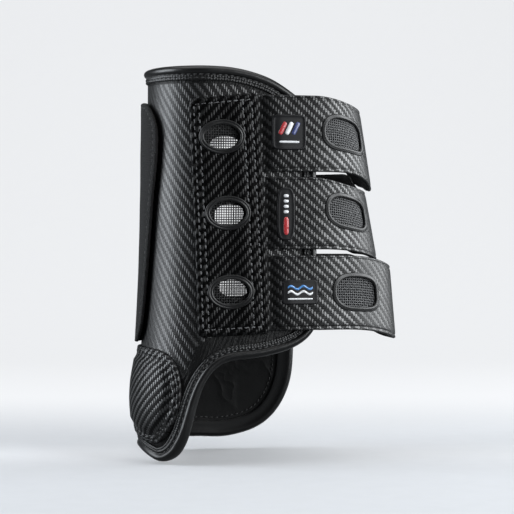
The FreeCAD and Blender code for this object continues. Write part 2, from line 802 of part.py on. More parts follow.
def free_strap(name, strap):
    face = band_face(strap)
    q, v = strap["window"]
    centre = face(q, v)
    axis = face(q, v, 1) - centre
    along = face(q + 0.01, v) - face(q - 0.01, v)

    def window_prism(grow, depth=10):
        return oval_prism(centre, axis, along, WINDOW_LENGTH + grow, WINDOW_HEIGHT + grow,
                          -depth, depth, WINDOW_POWER)

    q_start = max(band_end(strap, -1), 1e-4)
    q_end = min(band_end(strap, 1), 1 - 1e-4)
    hole = window_prism(0)

    def strip(v_low, v_high, inner, outer):
        rows = columns(lin(q_start, q_end, 40), v_low, v_high, 8)
        return layer(rows, inner, outer, face).cut(hole)

    def window_patch(inner, outer):
        rows = columns(lin(0.02, 0.47, 20), 0.2, 0.95, 7)
        return layer(rows, inner, outer, face)

    export(name + "_strap_skin", strip(0, 1, STRAP_SKIN_INNER, STRAP_T))
    export(name + "_strap_lining", strip(0.012, 0.988, 0.0, STRAP_LINING_T))
    ring = window_prism(FRAME_WIDTH).cut(window_prism(0, 11))
    export(name + "_window_frame", window_patch(STRAP_T + 0.1, STRAP_T + 1.2).common(ring))
    mesh_inner = STRAP_LINING_T - MESH_SINK
    mesh = window_patch(mesh_inner, mesh_inner + MESH_T)
    export(name + "_window_mesh", mesh.common(window_prism(-MESH_CLEARANCE)))


# ---------------------------------------------------------------- strap tabs on the inner side
S_TAB_END = side_s(24.5)  # rear end of the tabs
S_TAB_FRONT = S_CREASE - STRAP_GAP
S_HOOK = side_s(37.6)     # one end of the hook pad's evenly spaced columns
TAB_CORNER = 9.0          # length of the rounded rear corners
LINING_INSET = 0.6
HOOK_INSET = 3.0
TAB_ENDS = (0.0, 0.35, 1.0, 2.2, 4.0, 6.5, 9.5)      # columns in from the rear end


def tab(strap, inner, outer, even_end, edge_in=0.0):
    """Layer of a tab, set in from the tab's rear, low and high edges."""
    z_low, z_high = strap["z"]
    z_middle = (z_low + z_high) / 2 + strap["climb"]
    start = S_TAB_END + edge_in

    def half_height(s):
        t = min(1.0, max(0.0, (start + TAB_CORNER - s) / TAB_CORNER))
        corner = TAB_CORNER * (1 - math.sqrt(1 - (t * 0.94) ** 2))
        return (z_high - z_low) / 2 - edge_in - corner

    # sorted because on the hook pad even_end lies behind start + 12, its front edge
    steps = sorted([start + v for v in TAB_ENDS] + lin(start + 12, even_end, 7))
    rows = columns(steps, lambda s: z_middle - half_height(s),
                   lambda s: z_middle + half_height(s), 8)
    return layer(rows, INNER_OFFSET + inner, INNER_OFFSET + outer)


def strap_tab(name, strap):
    export(name + "_tab_skin", tab(strap, STRAP_SKIN_INNER, STRAP_T, S_TAB_FRONT))
    export(name + "_tab_lining", tab(strap, 0.0, STRAP_LINING_T, S_TAB_FRONT, LINING_INSET))
    export(name + "_hook_pad",
           tab(strap, -STRAP_GAP - HOOK_T, -STRAP_GAP, S_HOOK, HOOK_INSET))


for name, strap in STRAPS.items():
    export(name + "_strap_root", strap_root(strap))
    free_strap(name, strap)
    strap_tab(name, strap)

# ---------------------------------------------------------------- badges on the strap roots
BADGE_GAP = 0.12
# s range, z range, thickness, squareness of the outline
BADGES = {
    "top": ((-128.6, -104.9), (212.7, 236.7), 1.3, 7.0),
    "middle": ((-120.6, -108.4), (151.4, 187.2), 1.3, 3.4),
    "bottom": ((-136.4, -112.1), (107.8, 124.4), 0.8, 12.0),
}


def badge(s_range, z_range, thickness, power):
    s0, s1 = s_range
    z0, z1 = z_range
    tool = shell_prism((s0 + s1) / 2, (z0 + z1) / 2, (s1 - s0) / 2, (z1 - z0) / 2,
                       -3, 14, power)
    rows = columns(lin(s0 - 2, s1 + 2, 22), z0 - 2, z1 + 2, 10)
    body = layer(rows, lambda s, z: root_outer(s, z) + BADGE_GAP,
                 lambda s, z: root_outer(s, z) + BADGE_GAP + thickness)
    return body.common(tool)


for name, sizes in BADGES.items():
    export(name + "_badge", badge(*sizes))
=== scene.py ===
"""Looks of the open-front tendon boot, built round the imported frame.

The boot stands up z with its back at -x and its open front at +x.  The straps are
rooted on the near side (-y) and their tabs lie on the far side (+y).  Every soft piece
lies on the shell's own surface: s is the distance round from the back centre (negative
on the near side), z the height and d the offset out of the shell's face, all in
millimetres until a mesh is written in metres.
"""
import math
from collections import namedtuple

import bpy
import numpy as np
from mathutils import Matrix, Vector, noise
from mathutils.geometry import delaunay_2d_cdt


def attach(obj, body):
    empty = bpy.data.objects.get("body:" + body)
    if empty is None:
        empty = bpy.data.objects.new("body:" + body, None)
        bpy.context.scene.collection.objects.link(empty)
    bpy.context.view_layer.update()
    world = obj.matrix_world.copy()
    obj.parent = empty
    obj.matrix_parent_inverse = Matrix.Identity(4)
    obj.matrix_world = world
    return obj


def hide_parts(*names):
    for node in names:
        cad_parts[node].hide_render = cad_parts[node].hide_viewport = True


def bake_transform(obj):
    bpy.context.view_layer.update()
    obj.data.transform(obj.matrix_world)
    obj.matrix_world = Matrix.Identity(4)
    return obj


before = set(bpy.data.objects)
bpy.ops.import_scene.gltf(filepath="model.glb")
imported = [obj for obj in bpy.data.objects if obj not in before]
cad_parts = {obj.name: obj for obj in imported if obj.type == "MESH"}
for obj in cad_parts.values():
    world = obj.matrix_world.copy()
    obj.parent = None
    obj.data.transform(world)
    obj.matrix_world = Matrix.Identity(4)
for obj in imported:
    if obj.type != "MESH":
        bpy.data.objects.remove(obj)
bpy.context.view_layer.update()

# ------------------------------------------------------------------ sizes shared with the CAD
# plan of the shell: an elliptical back from BACK_X to SIDE_X, then sides that toe in
BACK_X, SIDE_X, FRONT_X = -59.0, -21.0, 49.5
HALF_WIDTH, TOE_IN = 44.0, 4.2
BACK_DEPTH = SIDE_X - BACK_X
EDGE_IN = 3.8                            # outline to the shell's cut edge, under the binding
PANEL_T, LOOP_T, HOOK_T = 1.9, 2.2, 1.25
STRAP_T, KNIT_TO, SKIN_FROM = 3.25, 1.6, 1.75    # strap thickness, and the layers in it
CREASE_X, TAB_END_X, HOOK_X = 51.5, 24.5, 37.6
NEAR_D, FAR_D = 2.1, 4.15                # strap's inner face off the shell at each crease
FRONT_POWER, STRAP_TOE_IN = 2.1, 0.16    # plan of a strap across the open front
LAP = 1.1                                # top strap's lower edge stands off the one below

# low, high: heights of the edges.  Pairs are (lower edge, upper edge):
# reach, furthest x; dip, fall across the front; lag, how late the near half falls;
# fall_from, fall_to: where the far half falls, 0 at its crease to 1 at the front.
# rise: lift of the far end.  root_s: rear end of the root.
# window: centre as fractions along the strap's curve and up its height.
Strap = namedtuple("Strap", "low high reach dip lag rise fall_from fall_to root_s window")
STRAPS = {
    "top": Strap(198.0, 250.0, (97.0, 88.0), (13.0, 9.0), (4.5, 1.6), 3.6,
                 (0.72, 0.42), (0.95, 0.98), -84.5, (0.165, 0.535)),
    "middle": Strap(145.2, 194.5, (101.0, 92.0), (8.4, 10.0), (2.6, 1.2), 4.2,
                    (0.57, 0.88), (0.85, 1.0), -88.0, (0.168, 0.572)),
    "bottom": Strap(90.3, 141.2, (115.0, 110.5), (9.0, 8.4), (3.5, 4.0), 0.0,
                    (0.72, 0.64), (1.0, 0.99), -92.0, (0.150, 0.508)),
}
# vent centres (s, z)
NEAR_VENTS = {"top": (-71.3, 221.4), "middle": (-75.4, 169.9), "bottom": (-78.0, 116.7)}
FAR_VENTS = {"top": (88.4, 218.4), "middle": (92.4, 169.0), "bottom": (97.0, 117.9)}
VENT_A, VENT_B = 12.6, 8.8               # half-axes of a vent
WINDOW_A, WINDOW_B = 17.2, 10.6          # half-axes of a strap window


# ------------------------------------------------------------------ curves
def running(steps):
    """Length so far, starting from nought."""
    return np.concatenate([[0], np.cumsum(steps)])


def pairs(a, b):
    return np.stack(np.broadcast_arrays(a, b), -1)


def between(ends, t):
    return ends[0] + (ends[1] - ends[0]) * t


def angles(count):
    return np.linspace(0, 2 * math.pi, count, endpoint=False)


def curve_through(stations):
    """Cubic through (x, y) stations that never overshoots, straight beyond its ends."""
    xs, ys = np.array(stations, float).T
    gap = np.diff(xs)
    grade = np.diff(ys) / gap
    slope = np.zeros(len(xs))
    slope[0], slope[-1] = grade[0], grade[-1]
    for i in range(1, len(xs) - 1):
        if grade[i - 1] * grade[i] > 0:
            w1, w2 = 2 * gap[i] + gap[i - 1], gap[i] + 2 * gap[i - 1]
            slope[i] = (w1 + w2) / (w1 / grade[i - 1] + w2 / grade[i])

    def curve(x):
        x = np.asarray(x, float)
        i = np.clip(np.searchsorted(xs, x, side="right") - 1, 0, len(xs) - 2)
        t = (x - xs[i]) / gap[i]
        y = (ys[i] * (1 + 2 * t) * (1 - t) ** 2 + slope[i] * gap[i] * t * (1 - t) ** 2
             + ys[i + 1] * t * t * (3 - 2 * t) + slope[i + 1] * gap[i] * t * t * (t - 1))
        y = np.where(x <= xs[0], ys[0] + slope[0] * (x - xs[0]), y)
        return np.where(x >= xs[-1], ys[-1] + slope[-1] * (x - xs[-1]), y)

    return curve


def smooth(a, b, x):
    t = np.clip((np.asarray(x, float) - a) / (b - a), 0, 1)
    return t * t * (3 - 2 * t)


def eased(stations, reach=14.0):
    """Curve up the boot, averaged over reach either way so that no station shows."""
    curve = curve_through(stations)
    z = np.arange(-24.0, 288.01, 3.0)
    k = np.arange(-10, 11)
    weight = 1 - np.abs(k) / 11
    y = (curve(z[:, None] + reach * k[None, :] / 10) * weight).sum(1) / weight.sum()
    return curve_through(pairs(z, y))


# ------------------------------------------------------------------ surface of the shell
BACK_ANGLE = np.linspace(0, math.pi / 2, 3001)
BACK_ARC = running(np.hypot(BACK_DEPTH * -np.diff(np.cos(BACK_ANGLE)),
                            HALF_WIDTH * np.diff(np.sin(BACK_ANGLE))))
SIDE_S = BACK_ARC[-1]
FRONT_S = SIDE_S + (FRONT_X - SIDE_X)
CREASE_S = SIDE_S + (CREASE_X - SIDE_X)
TOE_CURVE = TOE_IN / (FRONT_X - SIDE_X) ** 2
# (z, x of the back centre) and (z, width as a share of the plan's)
back_x = eased([(-40, -53.0), (-20, -55.5), (0, -60.0), (14, -64.0), (32, -67.0), (50, -66.5),
                (72, -63.5), (100, -61.5), (150, -59.5), (210, -58.5), (300, -57.8)])
width = eased([(-40, 1.04), (-20, 1.06), (0, 1.09), (30, 1.125), (55, 1.11), (80, 1.075),
               (110, 1.04), (150, 1.0), (210, 0.97), (300, 0.95)])


def shell_xy(s, z):
    q = np.abs(s)
    angle = np.interp(q, BACK_ARC, BACK_ANGLE)
    flat = SIDE_X + (q - SIDE_S)
    x = np.where(q <= SIDE_S, SIDE_X - BACK_DEPTH * np.cos(angle), flat)
    y = np.where(q <= SIDE_S, HALF_WIDTH * np.sin(angle),
                 HALF_WIDTH - TOE_CURVE * (flat - SIDE_X) ** 2)
    y = np.where(s >= 0, y, -y)
    back = back_x(z)
    stretch = (FRONT_X - back) / (FRONT_X - BACK_X)
    return back + (x - BACK_X) * stretch, y * width(z)


def on_shell(s, z, d=0.0):
    """Points at distance round s, height z, offset d out of the shell's face."""
    s, z, d = np.broadcast_arrays(*(np.asarray(a, float) for a in (s, z, d)))
    e = 0.3
    x, y = shell_xy(s, z)
    ax, ay = shell_xy(s - e, z)
    bx, by = shell_xy(s + e, z)
    cx, cy = shell_xy(s, z - e)
    dx, dy = shell_xy(s, z + e)
    tx, ty, ux, uy = bx - ax, by - ay, dx - cx, dy - cy
    normal = np.stack([ty * 2 * e, -tx * 2 * e, tx * uy - ty * ux], -1)
    normal /= np.linalg.norm(normal, axis=-1, keepdims=True)
    flip = np.where(normal[..., 0] * (x + 5) + normal[..., 1] * y < 0, -1.0, 1.0)
    return np.stack([x, y, z], -1) + normal * (flip * d)[..., None]


def in_shell(s, z, d=0.0):
    """The same surface with d counted inwards."""
    return on_shell(s, z, -np.asarray(d))


# ------------------------------------------------------------------ loops in the s-z plane
def resample(pts, step=None, n=None, closed=False):
    pts = np.asarray(pts, float)
    if closed:
        pts = np.vstack([pts, pts[:1]])
    arc = running(np.hypot(*np.diff(pts, axis=0).T))
    n = n or max(3, int(round(arc[-1] / step)) + (0 if closed else 1))
    t = np.linspace(0, arc[-1], n, endpoint=not closed)
    return pairs(np.interp(t, arc, pts[:, 0]), np.interp(t, arc, pts[:, 1]))


def soften(loop, times):
    for _ in range(times):
        loop = (np.roll(loop, 1, 0) + 2 * loop + np.roll(loop, -1, 0)) / 4
    return loop


def corner_loop(pts, step, passes):
    """Closed loop with its corners worn round."""
    return resample(soften(resample(pts, 1.0, closed=True), passes), step, closed=True)


def closed_row(loop):
    return np.vstack([loop, loop[:1]])


def inset(loop, dist, span=3):
    """Move an anticlockwise loop inwards; its direction is taken over span points each way."""
    t = np.roll(loop, -span, 0) - np.roll(loop, span, 0)
    t /= np.hypot(t[:, 0], t[:, 1])[:, None]
    return loop + pairs(-t[:, 1], t[:, 0]) * dist


def nearest(pts, line, closed=False):
    """Distance of each point to a polyline, and the arc length of the nearest place."""
    pts = np.asarray(pts, float)
    a = np.asarray(line, float)
    b = np.roll(a, -1, 0) if closed else a[1:]
    a = a if closed else a[:-1]
    ab = b - a
    square = np.maximum((ab ** 2).sum(1), 1e-12)
    start = running(np.sqrt(square))[:-1]
    best, arc = np.empty(len(pts)), np.empty(len(pts))
    for i in range(0, len(pts), 3000):
        p = pts[i:i + 3000]
        ap = p[:, None, :] - a[None]
        t = np.clip((ap * ab[None]).sum(2) / square, 0, 1)
        gap = ((ap - t[..., None] * ab[None]) ** 2).sum(2)
        k = gap.argmin(1)
        row = np.arange(len(p))
        best[i:i + 3000] = np.sqrt(gap[row, k])
        arc[i:i + 3000] = start[k] + t[row, k] * np.sqrt(square[k])
    return best, arc


def inside(pts, loop):
    pts = np.asarray(pts, float)
    a = np.asarray(loop, float)
    b = np.roll(a, -1, 0)
    out = np.zeros(len(pts), bool)
    for i in range(0, len(pts), 4000):
        x, y = pts[i:i + 4000, 0][:, None], pts[i:i + 4000, 1][:, None]
        spans = (a[None, :, 1] > y) != (b[None, :, 1] > y)
        with np.errstate(divide="ignore", invalid="ignore"):
            cut = ((b[:, 0] - a[:, 0])[None] * (y - a[None, :, 1])
                   / (b[:, 1] - a[:, 1])[None] + a[None, :, 0])
        out[i:i + 4000] = (spans & (x < cut)).sum(1) % 2 == 1
    return out


def superellipse(cs, cz, a, b, n, power=2.0):
    """power may be one number or one for each of the n points."""
    t = angles(n)
    c, s = np.cos(t), np.sin(t)
    return pairs(cs + a * np.sign(c) * np.abs(c) ** (2 / power),
                 cz + b * np.sign(s) * np.abs(s) ** (2 / power))


def vent_loop(centre, grow, n):
    return superellipse(*centre, VENT_A + grow, VENT_B + grow, n)


def window_loop(centre, grow, n):
    """Rounded at the rear, squarer at the front."""
    return superellipse(*centre, WINDOW_A + grow, WINDOW_B + grow, n,
                        2.9 + 0.5 * np.cos(angles(n)))


def wobble(s, z, scale, seed):
    return np.array([noise.noise(Vector((a / scale, b / scale, seed)))
                     for a, b in zip(*map(np.ravel, np.broadcast_arrays(s, z)))])


def ripples(region, scale, amount, seed):
    return amount * wobble(region.s, region.z, scale, seed)


# ------------------------------------------------------------------ outline of the boot
# (s, z) of the top edge from near the back to the front; both sides are alike
TOP_HALF = [(55.0, 270.0), (72.0, 269.6), (84.0, 268.2), (96.0, 265.4), (106.0, 261.8),
            (115.0, 256.6), (122.0, 251.6), (128.0, 246.8), (133.5, 240.5), (136.6, 233.0),
            (137.4, 226.0)]
TOP_LINE = [(-s, z) for s, z in reversed(TOP_HALF)] + [(0.0, 270.0)] + TOP_HALF
# (s, z) of the bottom edge, from the near side's front round to the far side's
LOW_LINE = [(-137.4, 100.0), (-136.6, 94.0), (-133.0, 87.0), (-127.0, 81.5), (-119.0, 77.2),
            (-108.0, 73.8), (-95.0, 71.4), (-82.0, 70.2), (-75.5, 68.4), (-70.4, 64.8),
            (-66.0, 58.6), (-62.4, 50.2), (-59.4, 40.0), (-56.6, 30.0), (-53.0, 20.6),
            (-48.0, 12.4), (-42.0, 6.0), (-35.0, 1.8), (-27.0, 0.0), (-18.0, 2.0),
            (-8.0, 4.9), (0.0, 6.5), (12.0, 6.9), (26.0, 6.5), (35.0, 7.2), (44.0, 8.1),
            (58.0, 8.9), (72.0, 8.9), (84.0, 8.3), (92.0, 8.8), (99.0, 10.2), (107.0, 12.5),
            (114.0, 15.8), (120.0, 20.2), (125.5, 26.4), (130.2, 34.2), (133.6, 42.8),
            (135.9, 52.0), (137.0, 62.0), (137.4, 74.0)]
# past STRETCH_FROM the stations are drawn out to reach the shell's front edge
STRETCH_FROM, STRETCH_SPAN = 100.0, 37.4
STRETCH = FRONT_S + EDGE_IN - (STRETCH_FROM + STRETCH_SPAN)


def stretched(line):
    return [(math.copysign(abs(s) + STRETCH * max(0.0, (abs(s) - STRETCH_FROM) / STRETCH_SPAN), s), z)
            for s, z in line]


TOP_LINE, LOW_LINE = stretched(TOP_LINE), stretched(LOW_LINE)
top_line, low_line = curve_through(TOP_LINE), curve_through(LOW_LINE)


def boot_outline():
    """Anticlockwise: forward along the bottom, back along the top."""
    low_s = np.linspace(LOW_LINE[0][0], LOW_LINE[-1][0], 1601)
    top_s = np.linspace(TOP_LINE[-1][0], TOP_LINE[0][0], 1601)
    pts = np.vstack([pairs(low_s, low_line(low_s)), pairs(top_s, top_line(top_s))])
    return soften(resample(pts, 1.5, closed=True), 6)


OUTLINE = boot_outline()
FINE_OUTLINE = resample(OUTLINE, 0.52, closed=True)


# ------------------------------------------------------------------ meshes
PIECES = {}


def new_mesh(name, verts_mm, faces, uv, material, **attributes):
    mesh = bpy.data.meshes.new(name)
    mesh.from_pydata((np.asarray(verts_mm) * 0.001).tolist(), [], faces)
    layer = mesh.uv_layers.new(name="mm")
    index = np.empty(len(mesh.loops), np.int32)
    mesh.loops.foreach_get("vertex_index", index)
    layer.data.foreach_set("uv", np.asarray(uv, np.float32)[index].ravel())
    for key, values in attributes.items():
        attribute = mesh.attributes.new(key, "FLOAT", "POINT")
        attribute.data.foreach_set("value", np.asarray(values, np.float32))
    mesh.validate(clean_customdata=False)
    mesh.polygons.foreach_set("use_smooth", np.ones(len(mesh.polygons), bool))
    mesh.materials.append(material)
    piece = bpy.data.objects.new(name, mesh)
    bpy.context.scene.collection.objects.link(piece)
    PIECES[name] = piece
    return piece


def register(piece, body, nodes=()):
    """Tell the frame which body carries a piece and what CAD nodes it stands for."""
    if body:
        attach(piece, body)
    if nodes:
        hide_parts(*nodes)
    return piece


class Region(namedtuple("Region", "points triangles edge")):
    """Triangulated part of the s-z plane; edge is each point's distance to its boundary."""
    s = property(lambda self: self.points[:, 0])
    z = property(lambda self: self.points[:, 1])


def edge_distance(pts, loops):
    return np.min([nearest(pts, loop, True)[0] for loop in loops], axis=0)


def within(pts, loops):
    """Inside the first loop and outside the rest."""
    ok = inside(pts, loops[0])
    for hole in loops[1:]:
        ok &= ~inside(pts, hole)
    return ok


def clear_of(pts, loops, gap):
    pts = pts[within(pts, loops)]
    return pts[edge_distance(pts, loops) > gap]


def beside(line, offsets, step):
    """Points along a line and beside it at each offset."""
    line = resample(line, step)
    t = np.gradient(line, axis=0)
    t /= np.maximum(np.hypot(t[:, 0], t[:, 1]), 1e-9)[:, None]
    side = pairs(-t[:, 1], t[:, 0])
    return np.vstack([line + side * offset for offset in offsets])


def staggered_grid(loop, step):
    (x0, y0), (x1, y1) = loop.min(0), loop.max(0)
    return np.vstack([pairs(np.arange(x0 + (step / 2 if i % 2 else 0), x1, step), y)
                      for i, y in enumerate(np.arange(y0, y1, step * 0.866))])


def triangulate(loop, holes, step, rings=(), lines=(), line_off=(), line_step=1.1):
    """Region inside a loop with holes, with rows of points along its edges and lines."""
    loops = [np.asarray(b, float) for b in (loop, *holes)]
    pts, edges = list(loops), []
    on_edge = 0
    for b in loops:
        edges += [(on_edge + i, on_edge + (i + 1) % len(b)) for i in range(len(b))]
        on_edge += len(b)
    last = 0.0
    for last in rings:
        ring = np.vstack([inset(loops[0], last)] + [inset(h, -last) for h in loops[1:]])
        pts.append(clear_of(ring, loops, last * 0.86))
    if len(lines):
        lined = np.vstack([beside(line, line_off, line_step) for line in lines])
        lined = clear_of(lined, loops, last + 0.25)
        # thin out points that crowd each other
        key = np.round(lined / 0.35).astype(np.int64)
        _, first = np.unique(key[:, 0] * 100003 + key[:, 1], return_index=True)
        pts.append(lined[np.sort(first)])
    grid = clear_of(staggered_grid(loops[0], step), loops, last + step * 0.5)
    for line in lines:
        grid = grid[nearest(grid, resample(line, 2.5))[0] > max(line_off) + step * 0.45]
    pts = np.vstack(pts + [grid])
    out = delaunay_2d_cdt([Vector(p) for p in pts.tolist()], edges, [], 0, 1e-5)
    v = np.array([[p.x, p.y] for p in out[0]])
    tris = np.array([f for f in out[2] if len(f) == 3], np.int64)
    # only triangles hanging wholly on the boundary can lie outside
    bound = np.array([any(k < on_edge for k in source) for source in out[3]])
    ask = bound[tris].all(1)
    keep = np.ones(len(tris), bool)
    keep[ask] = within(v[tris].mean(1)[ask], loops)
    tris = tris[keep]
    a, b, c = v[tris[:, 0]], v[tris[:, 1]], v[tris[:, 2]]
    area = (b[:, 0] - a[:, 0]) * (c[:, 1] - a[:, 1]) - (b[:, 1] - a[:, 1]) * (c[:, 0] - a[:, 0])
    tris[area < 0] = tris[area < 0][:, ::-1]
    tris = tris[np.abs(area) > 1e-9]
    used = np.unique(tris)
    remap = -np.ones(len(v), np.int64)
    remap[used] = np.arange(len(used))
    v = v[used]
    edge = edge_distance(v, loops)
    edge[bound[used]] = 0.0
    return Region(v, remap[tris], edge)


def edges_of(tris):
    return np.vstack([tris[:, [0, 1]], tris[:, [1, 2]], tris[:, [2, 0]]])


def facing(verts, tris, direction):
    """Whether most triangles wind so that they face along direction."""
    a, b, c = verts[tris[:, 0]], verts[tris[:, 1]], verts[tris[:, 2]]
    return np.median((np.cross(b - a, c - a) * direction[tris[:, 0]]).sum(1)) >= 0


def sheet(name, surface, region, top, bottom, material, slot, *nodes,
          body="boot_shell", edge_shift=0.0):
    """Closed sheet over a region of a surface, between two offsets out of it."""
    s, z, tris = region.s, region.z, region.triangles
    upper, lower = surface(s, z, top), surface(s, z, bottom)
    n = len(s)
    # boundary edges are used by one triangle only
    edges = edges_of(tris)
    key = np.sort(edges, 1)
    _, inverse, count = np.unique(key[:, 0] * n + key[:, 1], return_inverse=True,
                                  return_counts=True)
    rim = edges[count[inverse] == 1]
    if not facing(upper, tris, surface(s, z, top + 1.0) - upper):
        tris, rim = tris[:, ::-1], rim[:, ::-1]
    faces = tris.tolist() + (tris[:, ::-1] + n).tolist()
    faces += [[int(j), int(i), int(i) + n, int(j) + n] for i, j in rim]
    piece = new_mesh(name, np.vstack([upper, lower]), faces, np.tile(region.points, (2, 1)),
                     material, edge=np.tile(region.edge + edge_shift, 2))
    return register(piece, body, nodes)


def settle(surface, region, rest, pins, pressure, grow, cap, stiffness=12.0):
    """How far cloth pinned at its seams swells inwards from offset rest under pressure."""
    s, z, tris = region.s, region.z, region.triangles
    start = surface(s, z, rest)
    inward = surface(s, z, rest - 1.0) - start
    inward /= np.linalg.norm(inward, axis=1, keepdims=True)
    if not facing(start, tris, inward):
        tris = tris[:, ::-1]
    mesh = bpy.data.meshes.new("cloth_tmp")
    mesh.from_pydata((start * 0.001).tolist(), [], tris.tolist())
    cloth_piece = bpy.data.objects.new("cloth_tmp", mesh)
    bpy.context.scene.collection.objects.link(cloth_piece)
    pinned = [int(i) for i in np.nonzero(pins)[0]]
    cloth_piece.vertex_groups.new(name="pin").add(pinned, 1.0, "REPLACE")
    cloth = cloth_piece.modifiers.new("cloth", "CLOTH")
    settings = cloth.settings
    settings.quality = 6
    settings.mass = 0.3
    settings.tension_stiffness = settings.compression_stiffness = stiffness
    settings.shear_stiffness = stiffness * 0.4
    settings.bending_stiffness = 0.05
    settings.vertex_group_mass = "pin"
    settings.use_pressure = True
    settings.uniform_pressure_force = pressure
    settings.shrink_min = -grow
    settings.effector_weights.gravity = 0.0
    cloth.collision_settings.use_collision = False
    cloth.point_cache.frame_start, cloth.point_cache.frame_end = 1, 20
    for frame_number in range(1, 21):
        bpy.context.scene.frame_set(frame_number)
    evaluated = cloth_piece.evaluated_get(bpy.context.evaluated_depsgraph_get())
    out = np.empty(len(s) * 3)
    evaluated.to_mesh().vertices.foreach_get("co", out)
    evaluated.to_mesh_clear()
    moved = ((out.reshape(-1, 3) * 1000 - start) * inward).sum(1)
    bpy.data.objects.remove(cloth_piece, do_unlink=True)
    bpy.data.meshes.remove(mesh)
    bpy.context.scene.frame_set(1)
    moved = np.clip(moved, -cap * 0.3, cap)
    # a light smoothing over each point's neighbours
    edges = edges_of(tris)
    for _ in range(2):
        total, count = np.zeros(len(s)), np.zeros(len(s))
        for a, b in ((0, 1), (1, 0)):
            np.add.at(total, edges[:, a], moved[edges[:, b]])
            np.add.at(count, edges[:, a], 1)
        moved = np.where(pins, moved, 0.5 * moved + 0.5 * total / np.maximum(count, 1))
    return moved


def rounded(dist, radius, drop):
    """How far a face falls away from its full height within radius of the edge."""
    t = np.clip(dist / radius, 0, 1)
    return drop * (1 - np.sqrt(np.maximum(0, 1 - (1 - t) ** 2)))


def groove(region, rows, depth, half_width, pucker=0.35, pitch=4.3):
    """Depth of the grooves pulled in along rows of stitches."""
    out = np.zeros(len(region.s))
    for row in rows:
        dist, arc = nearest(region.points, resample(row, 1.5))
        pull = 1 - pucker + pucker * np.cos(2 * math.pi * arc / pitch)
        out = np.maximum(out, depth * np.exp(-(dist / half_width) ** 2) * pull)
    return out


def at(offset, s, z):
    """An offset is either one number or a function of s and z."""
    return offset(s, z) if callable(offset) else offset


def stitch_shape(length, width, height, ring=8, along=7):
    """Plump lozenge that dives in at both ends, as (along, across, out) points and faces."""
    tau = np.linspace(-1, 1, along)
    full = np.sqrt(np.maximum(0.0, 1 - np.abs(tau) ** 2.6))
    verts = [(-length / 2, 0.0, -height * 0.75)]
    for i in range(1, along - 1):
        for a in angles(ring):
            verts.append((tau[i] * length / 2, full[i] * width / 2 * math.cos(a),
                          height * 0.5 * full[i] * math.sin(a) - height * 0.62 * (1 - full[i])))
    verts.append((length / 2, 0.0, -height * 0.75))
    faces = [[0, 1 + (a + 1) % ring, 1 + a] for a in range(ring)]
    for i in range(along - 3):
        p, q = 1 + i * ring, 1 + (i + 1) * ring
        faces += [[p + a, p + (a + 1) % ring, q + (a + 1) % ring, q + a] for a in range(ring)]
    faces += [[q + a, q + (a + 1) % ring, len(verts) - 1] for a in range(ring)]
    return np.array(verts), faces


def stitches(name, rows, surface, offset, material, *nodes,
             pitch, length, width, height, body="boot_shell"):
    """One sewn stitch per pitch along each row, each turned slightly off its row."""
    shape, shape_faces = stitch_shape(length, width, height)
    slant = math.radians(7.0)
    rng = np.random.default_rng(7)
    verts, faces, tint = [], [], []
    for row in rows:
        row = np.asarray(row, float)
        row_length = np.hypot(*np.diff(row, axis=0).T).sum()
        marks = resample(row, n=2 * max(1, int(round(row_length / pitch))) + 1)
        start, middle, end = (part.T for part in (marks[0:-1:2], marks[1::2], marks[2::2]))
        raised = at(offset, *middle) + height * 0.30
        centre = surface(*middle, raised)
        out = surface(*middle, raised + 1.0) - centre
        t = surface(*end, at(offset, *end)) - surface(*start, at(offset, *start))
        t -= out * (t * out).sum(1)[:, None]
        t /= np.linalg.norm(t, axis=1)[:, None]
        w = np.cross(out, t)
        t, w = (t * math.cos(slant) + w * math.sin(slant),
                w * math.cos(slant) - t * math.sin(slant))
        size = 1 + rng.uniform(-0.07, 0.07, len(centre))
        for i in range(len(centre)):
            first = len(verts) * len(shape)
            verts.append(centre[i] + shape[:, :1] * t[i] * size[i] + shape[:, 1:2] * w[i]
                         + shape[:, 2:] * out[i])
            faces += [[j + first for j in face] for face in shape_faces]
            tint.append(np.full(len(shape), rng.uniform(0, 1)))
    verts = np.vstack(verts)
    piece = new_mesh(name, verts, faces, verts[:, [0, 2]], material, tint=np.concatenate(tint))
    return register(piece, body, nodes)


def wires(name, paths, wide, thick, material, sides=6):
    """Elliptical wires; each path is (points, normals)."""
    verts, faces = [], []
    first = 0
    for pts, normal in paths:
        t = np.gradient(pts, axis=0)
        t /= np.linalg.norm(t, axis=1)[:, None]
        normal = normal - t * (normal * t).sum(1)[:, None]
        normal /= np.linalg.norm(normal, axis=1)[:, None]
        across = np.cross(normal, t)
        n = len(pts)
        for a in angles(sides):
            verts.append(pts + across * wide * math.cos(a) + normal * thick * math.sin(a))
        starts = [first + a * n for a in range(sides)]
        for i in range(n - 1):
            for a, b in zip(starts, starts[1:] + starts[:1]):
                faces.append([a + i, a + i + 1, b + i + 1, b + i])
        faces.append(starts)
        faces.append([a + n - 1 for a in starts][::-1])
        first += n * sides
    verts = np.vstack(verts)
    return new_mesh(name, verts, faces, verts[:, [0, 2]], material)


